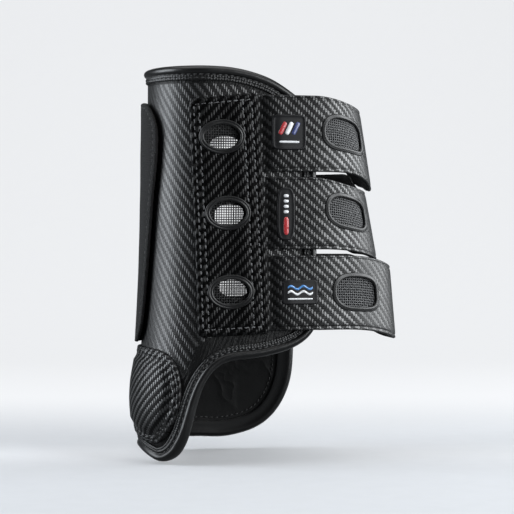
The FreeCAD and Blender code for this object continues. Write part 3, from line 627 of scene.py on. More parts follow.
def weave(name, surface, centre, a, b, power, d, wide, thick, material, body, node,
          pitch=1.7, wave=0.2):
    """Woven wire mesh cut to a superellipse on a surface."""
    paths = []
    for upright in (True, False):
        half, other = (a, b) if upright else (b, a)
        for k in range(-int(half / pitch), math.ceil(half / pitch)):
            u = k * pitch + 0.35 * pitch
            if abs(u) >= half * 0.985:
                continue
            reach = other * (1 - (abs(u) / half) ** power) ** (1 / power)
            if reach < 0.8:
                continue
            w = np.linspace(-reach, reach, max(4, int(2 * reach / (pitch / 3.0))))
            turn = (w - 0.35 * pitch) / pitch + k + (1 if upright else 2)
            s, z = (centre[0] + u, centre[1] + w) if upright else (centre[0] + w, centre[1] + u)
            height = d + wave * np.cos(math.pi * turn)
            pts = surface(s, z, height)
            paths.append((pts, surface(s, z, height + 1.0) - pts))
    register(wires(name, paths, wide, thick, material), body, [node])


def rim_ring(name, surface, loop_at, profile, offset, body, node, n=96):
    """Moulded rim: a closed profile of (outwards, height) swept round an opening."""
    loops = [loop_at(out, n) for out, _ in profile]
    verts = [surface(*loop.T, at(offset, *loop.T) + height)
             for loop, (_, height) in zip(loops, profile)]
    faces = []
    for j in range(len(profile)):
        a, b = j * n, (j + 1) % len(profile) * n
        faces += [[a + i, a + (i + 1) % n, b + (i + 1) % n, b + i] for i in range(n)]
    piece = new_mesh(name, np.vstack(verts), faces, np.vstack(loops), RIM_RUBBER)
    register(piece, body, [node])


# ------------------------------------------------------------------ shader expressions
class Signal:
    """A shader value; arithmetic on it adds Math nodes."""

    def __init__(self, material, socket):
        self.material, self.socket = material, socket

    def clamp(self):
        self.socket.node.use_clamp = True
        return self

    def floor(self):
        return self.material.math("FLOOR", self)

    def sine(self):
        return self.material.math("SINE", self)

    def __abs__(self):
        return self.material.math("ABSOLUTE", self)


def math_operator(operation, swapped=False):
    def apply(self, other):
        return self.material.math(operation, *((other, self) if swapped else (self, other)))
    return apply


for method, operation in (("add", "ADD"), ("sub", "SUBTRACT"), ("mul", "MULTIPLY"),
                          ("truediv", "DIVIDE"), ("pow", "POWER"), ("mod", "FLOORED_MODULO")):
    setattr(Signal, f"__{method}__", math_operator(operation))
    setattr(Signal, f"__r{method}__", math_operator(operation, True))
Signal.__lt__ = math_operator("LESS_THAN")
Signal.__gt__ = math_operator("GREATER_THAN")


class Material:
    """A procedural material written as expressions."""
    INPUTS = {"color": "Base Color", "rough": "Roughness", "spec": "Specular IOR Level",
              "normal": "Normal", "coat": "Coat Weight", "coat_rough": "Coat Roughness",
              "sheen": "Sheen Weight", "sheen_rough": "Sheen Roughness"}

    def __init__(self, name):
        self.data = bpy.data.materials.new(name)
        self.data.use_nodes = True
        self.tree = self.data.node_tree
        self.bsdf = self.tree.nodes["Principled BSDF"]

    def node(self, kind, inputs=(), **settings):
        """Add a node; inputs pairs each socket's key with a number, tuple or signal."""
        node = self.tree.nodes.new(kind)
        for key, value in settings.items():
            setattr(node, key, value)
        for key, value in inputs:
            self.put(node.inputs[key], value)
        return node

    def put(self, socket, value):
        if isinstance(value, Signal):
            value = value.socket
        if isinstance(value, (int, float, tuple)):
            socket.default_value = value
        else:
            self.tree.links.new(value, socket)

    def math(self, operation, *operands):
        node = self.node("ShaderNodeMath", enumerate(operands), operation=operation)
        return Signal(self, node.outputs[0])

    def blend(self, data_type, first, output, t, a, b):
        node = self.node("ShaderNodeMix", data_type=data_type)
        for key, value in ((0, t), (first, a), (first + 1, b)):
            self.put(node.inputs[key], value)
        return Signal(self, node.outputs[output])

    def mix(self, t, a, b):
        return self.blend("RGBA", 6, 2, t, a, b)

    def mix_value(self, t, a, b):
        return self.blend("FLOAT", 2, 0, t, a, b)

    def mix_normal(self, t, a, b):
        return self.blend("VECTOR", 4, 1, t, a, b)

    def uv(self):
        split = self.node("ShaderNodeSeparateXYZ")
        self.put(split.inputs[0], self.node("ShaderNodeUVMap", uv_map="mm").outputs[0])
        return Signal(self, split.outputs[0]), Signal(self, split.outputs[1])

    def vector(self, x, y):
        return self.node("ShaderNodeCombineXYZ", ((0, x), (1, y), (2, 0.0))).outputs[0]

    def place(self):
        """Position in the object, in metres."""
        return self.node("ShaderNodeTexCoord").outputs["Object"]

    def noise(self, vector, scale=1.0, detail=3.0, rough=0.55):
        node = self.node("ShaderNodeTexNoise", (("Vector", vector), ("Scale", scale),
                                                ("Detail", detail), ("Roughness", rough)))
        return Signal(self, node.outputs[0])

    def cells(self, vector, scale):
        node = self.node("ShaderNodeTexVoronoi", (("Vector", vector), ("Scale", scale)))
        return Signal(self, node.outputs[0])

    def attribute(self, name):
        return Signal(self, self.node("ShaderNodeAttribute", attribute_name=name).outputs["Fac"])

    def bump(self, height, mm, strength, normal=None):
        inputs = [("Strength", strength), ("Distance", mm * 0.001), ("Height", height)]
        if normal is not None:
            inputs.append(("Normal", normal))
        return Signal(self, self.node("ShaderNodeBump", inputs).outputs[0])

    def set(self, **looks):
        for key, value in looks.items():
            self.put(self.bsdf.inputs[self.INPUTS[key]], value)
        return self.data


def rgb(value, tint=(1.0, 1.01, 1.05)):
    """Nearly neutral colour, slightly blue."""
    return tuple(value * t for t in tint) + (1.0,)


# ------------------------------------------------------------------ materials
# warp, weft and value are brightnesses; warp is painted lighter than weft, a painted highlight on the
# warp tows and painted shade on the weft; depth is the relief in mm
def twill(name, direction, warp, weft, cell, shiny, dull, rough=0.33, depth=0.30,
          gathered=None, pressed=None, fold_sheen=False):
    """Embossed 2/2 twill: wide tows over two, under two, cell mm apart in s and z."""
    mat = Material(name)
    u, v = mat.uv()
    column, row = u / cell[0], v / cell[1]
    i, j = column.floor(), row.floor()
    in_u, in_v = column - i, row - j
    phase = (i + j * float(direction)) % 4.0
    is_warp = phase < 1.5
    if direction > 0:
        along_warp = (phase + in_v) / 2.0
    else:
        along_warp = (phase + 1.0 - in_v) / 2.0
    along_weft = (phase - 2.0 + in_u) / 2.0

    def arch(t):
        return (t * (1.0 - t) * 4.0).clamp()

    warp_height = arch(in_u) ** 0.7 * (0.45 + arch(along_warp) * 0.55)
    weft_height = arch(in_v) ** 0.7 * (0.12 + arch(along_weft) * 0.22)
    height = mat.mix_value(is_warp, weft_height, warp_height)
    # fine fibres along each tow
    warp_fibre = mat.noise(mat.vector(u * 6.0, v * 0.5), detail=2.0)
    weft_fibre = mat.noise(mat.vector(u * 0.5, v * 6.0), detail=2.0)
    fibre = mat.mix_value(is_warp, weft_fibre, warp_fibre)
    blotch = mat.noise(mat.place(), scale=26.0)
    edge = mat.attribute("edge")
    scuffs = mat.noise(mat.place(), scale=420.0, detail=2.0) > 0.47
    wear = (1.0 - edge / 1.3).clamp() * scuffs
    # painted highlight and shade: warp tows lighter, weft tows darker, standing in for how the side
    # lamps catch each
    tone = mat.mix(is_warp, rgb(weft), rgb(warp))
    tone = mat.mix((1.0 - height).clamp() * 0.75, tone, rgb(weft * 0.35))   # painted shade in the gaps between tows
    tone = mat.mix(fibre * 0.35, tone, rgb(weft))
    tone = mat.mix(blotch * 0.30, tone, rgb(weft * 1.3))
    tone = mat.mix(wear * 0.25, tone, rgb(0.06))
    look = {
        "color": tone,
        "rough": mat.mix_value(is_warp, rough + 0.20, rough) + (blotch - 0.5) * 0.16,
        "normal": mat.bump(height + fibre * 0.07, mm=depth, strength=0.85),
        "spec": mat.mix_value(is_warp, dull, shiny) * (0.25 + height * 0.85),
    }
    if pressed:
        press_flat(mat, look, u, v, height, blotch, pressed, warp, depth, fold_sheen)
    if gathered:
        gather_margin(mat, look, u, v, edge, gathered)
    return mat.set(**look)


def press_flat(mat, look, u, v, height, blotch, limits, warp, depth, fold_sheen):
    """Between two limits in u the cloth is pulled tight and its weave pressed flat."""
    flat = ((u - limits[0]) / 13.0).clamp() * ((limits[1] - u) / 14.0).clamp()
    flat = (flat * (0.62 + blotch * 0.45)).clamp()
    line = mat.noise(mat.vector(u * 2.6, v * 0.10), detail=2.0)
    if fold_sheen:
        # darker in the fold by the seam, with a soft sheen where the strap turns out of it
        out = mat.math("SMOOTH_MIN", ((u + 4.0) / 20.0).clamp(), 1.0, 0.2)
        wave = mat.noise(mat.vector((u + v * -0.45) * 0.11, v * 0.03), detail=2.0) * 0.9
        look["spec"] = look["spec"] * (0.12 + wave + out * 0.62)
    look["spec"] = mat.mix_value(flat, look["spec"], 0.36 + line * 0.22)
    look["color"] = mat.mix(flat, look["color"], rgb(warp * 0.7))
    relief = mat.bump(height * 0.22 + line * 0.30, mm=depth, strength=0.8)
    look["normal"] = mat.mix_normal(flat, look["normal"], relief)


def gather_margin(mat, look, u, v, edge, margin):
    """Plain gathered leather round the edge, 8 mm wider low on the near side."""
    low = ((98.0 - v) / 10.0).clamp()
    near = ((-46.0 - u) / 10.0).clamp()
    band = ((margin + low * near * 8.0 - edge) * 2.0).clamp()
    fold = mat.noise(mat.vector((u + v * 0.35) * 0.55, v * 0.14))
    fine = mat.noise(mat.place(), scale=900.0)
    relief = mat.bump(fold * 1.0 + fine * 0.10, mm=1.1, strength=0.8)
    look["color"] = mat.mix(band, look["color"], mat.mix(fine, rgb(0.0022), rgb(0.0045)))
    look["rough"] = mat.mix_value(band, look["rough"], 0.42)
    look["spec"] = mat.mix_value(band, look["spec"], 0.17)
    look["normal"] = mat.mix_normal(band, look["normal"], relief)


def grained(name, value, rough, grain, depth, worn, spec, crease=0.0):
    """Satin coated leather: fine pebble grain, faint blotches, paler worn edges."""
    mat = Material(name)
    place = mat.place()
    cells = mat.cells(place, grain)
    fine = mat.noise(place, scale=grain * 2.2)
    blotch = mat.noise(place, scale=30.0, detail=4.0)
    tone = mat.mix(blotch, rgb(value * 0.75), rgb(value * 1.3))
    tone = mat.mix(cells * 0.35, tone, rgb(value * 0.5))
    wear = (1.0 - mat.attribute("edge") / 1.0).clamp() * worn
    tone = mat.mix(wear, tone, rgb(value * 5))
    creased = None
    if crease:
        ridge = abs(mat.noise(mat.place(), scale=34.0, detail=2.5, rough=0.5) - 0.5)
        ridge = (1.0 - ridge * 9.0).clamp()
        creased = mat.bump(ridge ** 2.0 + blotch * 1.2, mm=crease, strength=0.8)
    relief = mat.bump(cells * 0.6 + fine * 0.4, mm=depth, strength=0.9, normal=creased)
    return mat.set(color=tone, rough=rough + (blotch - 0.5) * 0.18, spec=spec, normal=relief,
                   coat=0.0, coat_rough=0.25)


def ribbed(name, value, pitch_u, pitch_v, rough, depth, sheen):
    """Knitted or looped fabric: courses and wales with fuzz."""
    tint = (1.0, 1.0, 1.05)
    mat = Material(name)
    u, v = mat.uv()
    sway = (mat.noise(mat.place(), scale=300.0, detail=2.0) - 0.5) * 1.4
    wale = abs((u * (math.pi / pitch_u) + sway).sine())
    course = abs((v * (math.pi / pitch_v) + sway).sine())
    height = wale ** 0.7 * (0.45 + course * 0.55)
    fuzz = mat.noise(mat.place(), scale=1500.0, detail=4.0, rough=0.7)
    blotch = mat.noise(mat.place(), scale=40.0)
    tone = mat.mix(height, rgb(value * 0.35, tint), rgb(value * 1.15, tint))
    tone = mat.mix(fuzz * 0.5, tone, rgb(value * 1.7, tint))
    tone = mat.mix(blotch * 0.4, tone, rgb(value * 0.7, tint))
    return mat.set(color=tone, rough=rough, spec=0.25, sheen=sheen, sheen_rough=0.5,
                   normal=mat.bump(height + fuzz * 0.6, mm=depth, strength=0.9))


def thread(name, value):
    """Twisted plies, with a different shade for each stitch."""
    mat = Material(name)
    node = mat.node("ShaderNodeTexWave", (("Vector", mat.place()), ("Scale", 900.0),
                                          ("Distortion", 1.5)),
                    wave_type="BANDS", bands_direction="DIAGONAL")
    ply = Signal(mat, node.outputs["Fac"])
    tone = mat.mix(ply, rgb(value * 0.55), rgb(value * 1.25))
    tone = mat.mix(mat.attribute("tint") * 0.45, tone, rgb(value * 0.5))
    return mat.set(color=tone, rough=0.5, spec=0.45, sheen=0.15,
                   normal=mat.bump(ply, mm=0.12, strength=0.7))


def wire(name, value, rough):
    mat = Material(name)
    place = mat.place()
    fine = mat.noise(place, scale=900.0)
    blotch = mat.noise(place, scale=60.0, detail=2.0)
    tone = mat.mix(fine, rgb(value * 0.6), rgb(value * 1.25))
    tone = mat.mix(blotch * 0.4, tone, rgb(value * 0.7))
    return mat.set(color=tone, rough=rough, spec=0.5,
                   normal=mat.bump(fine, mm=0.05, strength=0.6))


def rubber(name, value, rough, spec):
    mat = Material(name)
    place = mat.place()
    fine = mat.noise(place, scale=800.0, detail=4.0)
    blotch = mat.noise(place, scale=45.0)
    tone = mat.mix(blotch, rgb(value * 0.7), rgb(value * 1.35))
    tone = mat.mix(fine * 0.3, tone, rgb(value * 1.8))
    return mat.set(color=tone, rough=rough + (fine - 0.5) * 0.2, spec=spec,
                   normal=mat.bump(fine, mm=0.04, strength=0.7))


def foam(name, value):
    mat = Material(name)
    cells = mat.cells(mat.place(), 1300.0)
    return mat.set(color=mat.mix(cells, rgb(value * 0.5), rgb(value * 1.3)), rough=0.9,
                   spec=0.2, normal=mat.bump(cells, mm=0.15, strength=0.8))


def printed(name, color, rough=0.28, coat=0.6, spec=0.5):
    """Printed and domed: flat colour with ink mottling under a clear coat."""
    mat = Material(name)
    place = mat.place()
    fine = mat.noise(place, scale=1200.0)
    blotch = mat.noise(place, scale=150.0, detail=2.0)
    dark = tuple(c * 0.72 for c in color) + (1.0,)
    light = tuple(min(1, c * 1.08 + 0.005) for c in color) + (1.0,)
    tone = mat.mix((fine + blotch) * 0.5, dark, light)
    return mat.set(color=tone, rough=rough + (fine - 0.5) * 0.15, spec=spec, coat=coat,
                   coat_rough=0.12, normal=mat.bump(fine, mm=0.02, strength=0.5))


SHELL_TWILL = twill("twill_shell", -1, warp=0.010, weft=0.0022, cell=(1.5, 1.95), shiny=0.88,
                    dull=0.50, depth=0.26, gathered=8.5, pressed=(-46.0, 34.0))
# the vent panel's twill colour is painted darker than the shell's: painted shade on the panel, which
# faces the camera
PANEL_TWILL = twill("twill_panel", 1, warp=0.004, weft=0.0014, cell=(1.65, 1.9), shiny=0.26,
                    dull=0.07, rough=0.34)
STRAP_TWILL = twill("twill_strap", 1, warp=0.012, weft=0.0022, cell=(1.8, 1.62), shiny=0.95,
                    dull=0.45, pressed=(25.0, 92.0), fold_sheen=True)
PAD_TWILL = twill("twill_pad", 1, warp=0.009, weft=0.0020, cell=(1.45, 1.54), shiny=0.8,
                  dull=0.2)
BINDING = grained("binding_leather", 0.004, rough=0.34, grain=620.0, depth=0.06, worn=0.05,
                  spec=0.40)
LINING = grained("lining_fabric", 0.0022, rough=0.46, grain=900.0, depth=0.05, worn=0.10,
                 spec=0.22, crease=0.35)
PALE_THREAD = thread("thread", 0.11)
DARK_THREAD = thread("thread_dark", 0.055)
BLACK_THREAD = thread("thread_black", 0.006)
RIM_RUBBER = rubber("rim_rubber", 0.005, rough=0.36, spec=0.42)
VENT_WIRE = wire("vent_wire", 0.020, rough=0.45)
WINDOW_WIRE = wire("window_wire", 0.06, rough=0.42)
LOOP_PILE = ribbed("loop_pile", 0.0045, pitch_u=0.9, pitch_v=1.5, rough=0.75, depth=0.5,
                   sheen=0.04)
HOOK_TAPE = ribbed("hook_tape", 0.015, pitch_u=1.3, pitch_v=1.3, rough=0.6, depth=0.35,
                   sheen=0.0)
KNIT = ribbed("strap_knit", 0.012, pitch_u=0.7, pitch_v=0.9, rough=0.75, depth=0.15,
              sheen=0.05)
FOAM = foam("foam_cells", 0.05)
PLATE = rubber("plate_plastic", 0.10, rough=0.5, spec=0.5)
BLACK = printed("print_black", (0.002, 0.002, 0.003), rough=0.45, coat=0.0, spec=0.2)
WHITE = printed("print_white", (0.72, 0.73, 0.75))
RED = printed("print_red", (0.42, 0.025, 0.03))
NAVY = printed("print_navy", (0.03, 0.045, 0.16))
BLUE = printed("print_blue", (0.05, 0.22, 0.55))


# ------------------------------------------------------------------ straps as surfaces
# vent panel on the near side: (z, s) of its rear and front edges
panel_rear = curve_through([(80, -57.4), (86.6, -57.1), (145, -54.0), (192, -51.5),
                            (246, -48.9), (256, -48.4)])
panel_front = curve_through([(80, -105.3), (88, -104.9), (138, -102.4), (192, -99.5),
                             (251, -95.9), (258, -95.5)])


def panel_lift(s, z):
    """The panel's front half stands off the shell, over the strap roots."""
    t = (s - panel_rear(z)) / (panel_front(z) - panel_rear(z))
    return 0.3 + 1.75 * smooth(0.42, 0.72, t)


def root_inner(s, z):
    return 0.3 + (NEAR_D - 0.3) * smooth(1.5, 14.5, panel_front(z) - s)


def root_outer(s, z):
    """A root is thin under the vent panel and full beyond it."""
    return root_inner(s, z) + 1.5 + (STRAP_T - 1.5) * smooth(1.0, 7.0, panel_front(z) - s)


def strap_face(name, q, v):
    """Inner face across the front: q from near crease to far, v from lower edge to upper."""
    strap = STRAPS[name]
    z = between((strap.low, strap.high), v)
    over = smooth(0.42, 0.72, q)
    a = math.pi * (q - 0.5)
    c, sn = np.maximum(0.0, np.cos(a)), np.sin(a)
    near = on_shell(-CREASE_S, z, NEAR_D)
    far = on_shell(CREASE_S, z + strap.rise, FAR_D)
    root = np.where((sn < 0)[..., None], near, far)
    ahead = c ** (2 / FRONT_POWER)
    x = root[..., 0] + (between(strap.reach, v) - root[..., 0]) * ahead
    y = ((np.abs(root[..., 1]) - STRAP_TOE_IN * (x - root[..., 0]))
         * np.abs(sn) ** (2 / FRONT_POWER) * np.where(sn < 0, -1.0, 1.0))
    fall = (ahead ** between(strap.lag, v) * (1 - over)
            + smooth(between(strap.fall_from, v), between(strap.fall_to, v), ahead) * over)
    return np.stack([x, y, z + strap.rise * over - between(strap.dip, v) * fall], -1)


def on_strap_face(name, q, v, d):
    q, v, d = np.broadcast_arrays(*(np.asarray(a, float) for a in (q, v, d)))
    if name == "top":            # its lower edge laps over the strap below
        d = d + (LAP * smooth(0.50, 0.60, q) * (1 - smooth(0.76, 0.90, q))
                 * (1 - smooth(0.10, 0.26, v)))
    p = strap_face(name, q, v)
    e = 0.004
    t = strap_face(name, np.minimum(1, q + e), v) - strap_face(name, np.maximum(0, q - e), v)
    u = strap_face(name, q, v + 0.01) - strap_face(name, q, v - 0.01)
    normal = np.cross(t, u)
    normal /= np.linalg.norm(normal, axis=-1, keepdims=True)
    outward = normal[..., 0] * (p[..., 0] - 30) + normal[..., 1] * p[..., 1]
    return p + normal * (np.where(outward < 0, -1.0, 1.0) * d)[..., None]


STRAP_Q = np.linspace(0, 1, 1201)
STRAP_ARCS = {}
for name in STRAPS:
    line = strap_face(name, STRAP_Q, np.full_like(STRAP_Q, 0.5))
    STRAP_ARCS[name] = running(np.linalg.norm(np.diff(line, axis=0), axis=1))


def strap_surface(name):
    """u: along the strap, 0 at the near crease; v: up from its middle; d: out of its face."""
    low, high = STRAPS[name][:2]

    def surface(u, v, d=0.0):
        u, v, d = np.broadcast_arrays(*(np.asarray(a, float) for a in (u, v, d)))
        s = -(CREASE_S + np.minimum(u, 0.0))
        z = (low + high) / 2 + v
        inner, outer = root_inner(s, z), root_outer(s, z)
        root = on_shell(s, z, inner + d * (outer - inner) / STRAP_T)
        q = np.interp(np.maximum(u, 0.0), STRAP_ARCS[name], STRAP_Q)
        front = on_strap_face(name, q, v / (high - low) + 0.5, d)
        return np.where((u <= 0)[..., None], root, front)

    return surface


def tab_surface(name):
    """u: rearwards along the tab, 0 at the far crease (negative on the strap's end)."""
    low, high = STRAPS[name][:2]

    def surface(u, v, d=0.0):
        u, v, d = np.broadcast_arrays(*(np.asarray(a, float) for a in (u, v, d)))
        z = (low + high) / 2 + STRAPS[name].rise + v
        tab = on_shell(CREASE_S - np.maximum(u, 0.0), z, FAR_D + d)
        arc = STRAP_ARCS[name]
        q = np.interp(arc[-1] + np.minimum(u, 0.0), arc, STRAP_Q)
        front = on_strap_face(name, q, v / (high - low) + 0.5, d)
        return np.where((u >= 0)[..., None], tab, front)

    return surface


# ------------------------------------------------------------------ shell, foam and lining
def all_vents(grow, n=60):
    return [vent_loop(centre, grow, n) for centre in [*NEAR_VENTS.values(), *FAR_VENTS.values()]]


def shell():
    loop = resample(inset(OUTLINE, EDGE_IN + 0.4), 1.7, closed=True)
    region = triangulate(loop, all_vents(0.15), 1.9, rings=(0.7, 1.6))
    top = -0.05 + ripples(region, 34.0, 0.22, 3.0) - rounded(region.edge, 0.7, 0.3)
    sheet("shell_skin", on_shell, region, top, -1.95, SHELL_TWILL,
          "embossed_synthetic_leather", "outer_shell")


def foam_core():
    loop = resample(inset(OUTLINE, EDGE_IN + 0.8), 4.0, closed=True)
    region = triangulate(loop, all_vents(0.35, 36), 5.0, rings=(1.2,))
    corner = rounded(region.edge, 1.2, 0.6)
    sheet("foam_core", on_shell, region, -2.3 - corner, -6.5 + corner, FOAM, "padding",
          "foam_padding")


LINING_ROW = closed_row(resample(inset(OUTLINE, 14.5, 6), 2.0, closed=True))


def lining():
    loop = resample(inset(OUTLINE, EDGE_IN + 1.0), 2.6, closed=True)
    region = triangulate(loop, all_vents(0.2, 44), 2.7, rings=(1.3,), lines=[LINING_ROW],
                         line_off=(-1.1, 0.0, 1.1), line_step=2.0)
    edge = region.edge
    to_seam = nearest(region.points, LINING_ROW)[0]
    seam = groove(region, [LINING_ROW], 0.55, 1.3, pucker=0.0)
    swell = settle(on_shell, region, rest=-8.0, pins=(edge < 1.4) | (to_seam < 0.5),
                   pressure=4.0, grow=0.035, cap=1.7)
    sheet("lining_soft", on_shell, region, -6.85, -7.9 - swell + seam, LINING, "lining",
          "inner_lining")


shell()
foam_core()
lining()

# ------------------------------------------------------------------ rolled binding
# closed section as (inset from the outline, offset d): the outer face with two hollows for
# stitches, round the edge, the inner face, then back along the shell it grips
BINDING_SECTION = [
    (10.2, 0.2), (10.5, 0.6), (10.35, 1.0), (9.9, 1.25), (9.4, 1.3), (8.95, 1.1), (8.8, 0.95),
    (8.65, 1.1), (8.2, 1.35), (7.7, 1.4), (7.2, 1.3), (6.75, 1.0), (6.55, 0.85), (6.35, 0.85),
    (6.15, 1.15), (5.8, 1.7), (5.35, 2.15), (4.8, 2.5), (4.2, 2.7), (3.5, 2.72), (2.8, 2.5),
    (2.0, 1.95), (1.3, 0.9), (0.7, -0.8), (0.35, -2.4), (0.25, -4.1), (0.35, -5.8),
    (0.7, -7.4), (1.3, -9.0), (2.0, -10.0), (2.8, -10.5), (3.6, -10.5), (4.4, -10.3),
    (5.2, -10.0), (6.2, -9.75), (7.4, -9.6), (8.6, -9.55), (9.8, -9.55), (10.8, -9.45),
    (11.4, -9.3), (11.8, -9.0), (11.9, -8.7), (11.6, -8.45), (10.0, -8.4), (7.5, -8.4),
    (4.0, -8.4), (4.0, -4.1), (4.0, 0.15), (7.5, 0.2)]
JOIN_Z = 168.0                           # the top and bottom bindings meet here


def binding(name, node, chosen):
    """Binding along the run of outline points that are chosen."""
    n = len(FINE_OUTLINE)
    start = next(i for i in range(n) if chosen[i] and not chosen[i - 1])
    run = (start + np.arange(int(chosen.sum()))) % n
    arc = np.cumsum(np.hypot(*(FINE_OUTLINE - np.roll(FINE_OUTLINE, 1, 0)).T))[run]
    amount = 0.20 + 0.10 * wobble(arc, 3.0, 11.0, 2.0)
    gather = amount * np.cos(2 * math.pi * (arc + 0.25 * wobble(arc, 9.0, 5.0, 1.0)) / 2.1)
    rings, edge = [], []
    for inward, height in BINDING_SECTION:
        loop = inset(FINE_OUTLINE, inward, 5)[run]
        d = np.full(len(run), height)
        if 6.9 < inward < 10.3 and 0.7 < height < 2.0:    # between and beside the stitches
            d += gather
        if height > -8.3 and inward < 9:
            d += 0.10 * wobble(arc, inward * 2.0, 7.0, 5.0)
        rings.append(on_shell(*loop.T, d))
        edge.append(np.full(len(run), 3.0 if inward < 9.5 else 0.2))
    m, k = len(BINDING_SECTION), len(run)
    faces = []
    for j in range(m):
        a, b = j * k, (j + 1) % m * k
        faces += [[a + i, b + i, b + i + 1, a + i + 1] for i in range(k - 1)]
    faces.append([a * k for a in range(m)][::-1])
    faces.append([a * k + k - 1 for a in range(m)])
    girth = running(np.hypot(*np.diff(BINDING_SECTION, axis=0).T))
    piece = new_mesh(name, np.vstack(rings), faces, pairs(np.tile(arc, m), np.repeat(girth, k)),
                     BINDING, edge=np.concatenate(edge))
    register(piece, "boot_shell", [node])


binding("top_edge_roll", "top_edge_binding", FINE_OUTLINE[:, 1] > JOIN_Z)
binding("bottom_edge_roll", "bottom_edge_binding", FINE_OUTLINE[:, 1] < JOIN_Z)
stitches("lining_stitches", [LINING_ROW], in_shell, 7.75, BLACK_THREAD,
         pitch=3.6, length=2.7, width=0.9, height=0.55).data.flip_normals()
stitches("edge_stitches", [closed_row(inset(FINE_OUTLINE, e, 5)) for e in (6.5, 8.8)], on_shell,
         0.86, DARK_THREAD, "binding_stitching", pitch=4.2, length=3.2, width=0.85, height=0.5)

# ------------------------------------------------------------------ vents
# rim section as (outwards from the opening, height)
VENT_RIM = [(-0.5, -1.4), (-0.55, 0.35), (-0.25, 0.85), (0.3, 1.1), (0.8, 1.0), (1.15, 0.62),
            (1.4, 0.55), (1.7, 0.8), (2.15, 0.95), (2.6, 0.75), (2.9, 0.25), (2.95, -0.5)]


def vents(side, centres, offset):
    for key, centre in centres.items():
        rim_ring(f"{side}_vent_ring_{key}", on_shell,
                 lambda grow, n: vent_loop(centre, grow, n), VENT_RIM, offset,
                 "boot_shell", f"{side}_vent_rim_{key}")
        weave(f"{side}_vent_weave_{key}", on_shell, centre, VENT_A + 0.1, VENT_B + 0.1,
              power=2.0, d=-0.1, wide=0.25, thick=0.20, material=VENT_WIRE,
              body="boot_shell", node=f"{side}_vent_mesh_{key}")


# ------------------------------------------------------------------ vent panel, near side
def panel_point(t, k):
    """t from the rear edge to the front, k from the bottom to the top."""
    t, k = np.broadcast_arrays(np.asarray(t, float), np.asarray(k, float))
    z = between((86.2 + 2.1 * t, 246.8 + 4.7 * t), k)
    return pairs(between((panel_rear(z), panel_front(z)), t), z)


def panel_rows():
    """Two rows up each side, and one across at the top and at the bottom."""
    z = np.linspace(91.5, 242.5, 90)
    front_z = z * 1.012 + 0.9
    rear = [pairs(panel_rear(z) - e, z) for e in (3.4, 6.9)]
    front = [pairs(panel_front(front_z) + e, front_z) for e in (5.2, 11.2)]
    ramp = np.linspace(0, 1, 30)

    def across(end, lift):
        a, b = rear[0][end], front[0][end]
        return pairs(a[0] + (b[0] - a[0]) * ramp, a[1] + lift + (b[1] - a[1]) * ramp)

    return [*rear, *front, across(-1, 0.4), across(0, -0.4)]


def vent_panel():
    t, k = np.linspace(0, 1, 40), np.linspace(0, 1, 120)
    sides = (panel_point(t[::-1], 0.0), panel_point(0.0, k), panel_point(t, 1.0),
             panel_point(1.0, k[::-1]))
    loop = corner_loop(np.vstack([side[:-1] for side in sides]), 1.3, 14)
    rows = panel_rows()
    holes = [vent_loop(centre, -0.1, 64) for centre in NEAR_VENTS.values()]
    region = triangulate(loop, holes, 1.8, rings=(0.35, 0.9, 1.8), lines=rows,
                         line_off=(-1.5, -0.7, 0.0, 0.7, 1.5))
    # padded, but pressed flat again round each vent
    padding = 0.45 * smooth(0.3, 2.5, region.edge)
    to_vent = np.minimum(9.0, edge_distance(region.points, holes))
    top = (panel_lift(region.s, region.z) + PANEL_T - 0.15
           + padding * smooth(2.6, 6.0, to_vent) - groove(region, rows, 0.75, 0.95)
           + ripples(region, 16.0, 0.22, 4.0) - rounded(region.edge, 1.3, 1.3))
    sheet("vent_panel_skin", on_shell, region, top, panel_lift(region.s, region.z) + 0.02,
          PANEL_TWILL, "embossed_synthetic_leather", "vent_panel")
    stitches("vent_panel_stitches", rows, on_shell,
             lambda s, z: panel_lift(s, z) + PANEL_T - 0.42, PALE_THREAD,
             "vent_panel_stitching", pitch=4.4, length=3.6, width=1.15, height=0.72)


vent_panel()
vents("outer", NEAR_VENTS, lambda s, z: panel_lift(s, z) + PANEL_T - 0.05)

# ------------------------------------------------------------------ loop panel, far side
LOOP_LOW, LOOP_HIGH, LOOP_FRONT_X = 80.6, 246.0, 38.2
# (z, s) of its rear edge
loop_rear = curve_through([(80.6, -3.0), (84, -7.0), (90, -10.2), (100, -12.2), (120, -14.4),
                           (152, -17.8), (185, -21.4), (206, -24.6), (222, -25.4),
                           (234, -22.6), (242, -15.5), (247, -8.5)])


def loop_top(s):
    """The lower of LOOP_HIGH and 15 mm below the boot's top edge, blended softly."""
    limit, k = top_line(s) - 15.0, 2.5
    return -k * np.log(np.exp(-(LOOP_HIGH - 200) / k) + np.exp(-(limit - 200) / k)) + 200


def loop_lift(s, z):
    return 0.3 + 2.6 * smooth(-34.0, 2.0, -np.asarray(s))


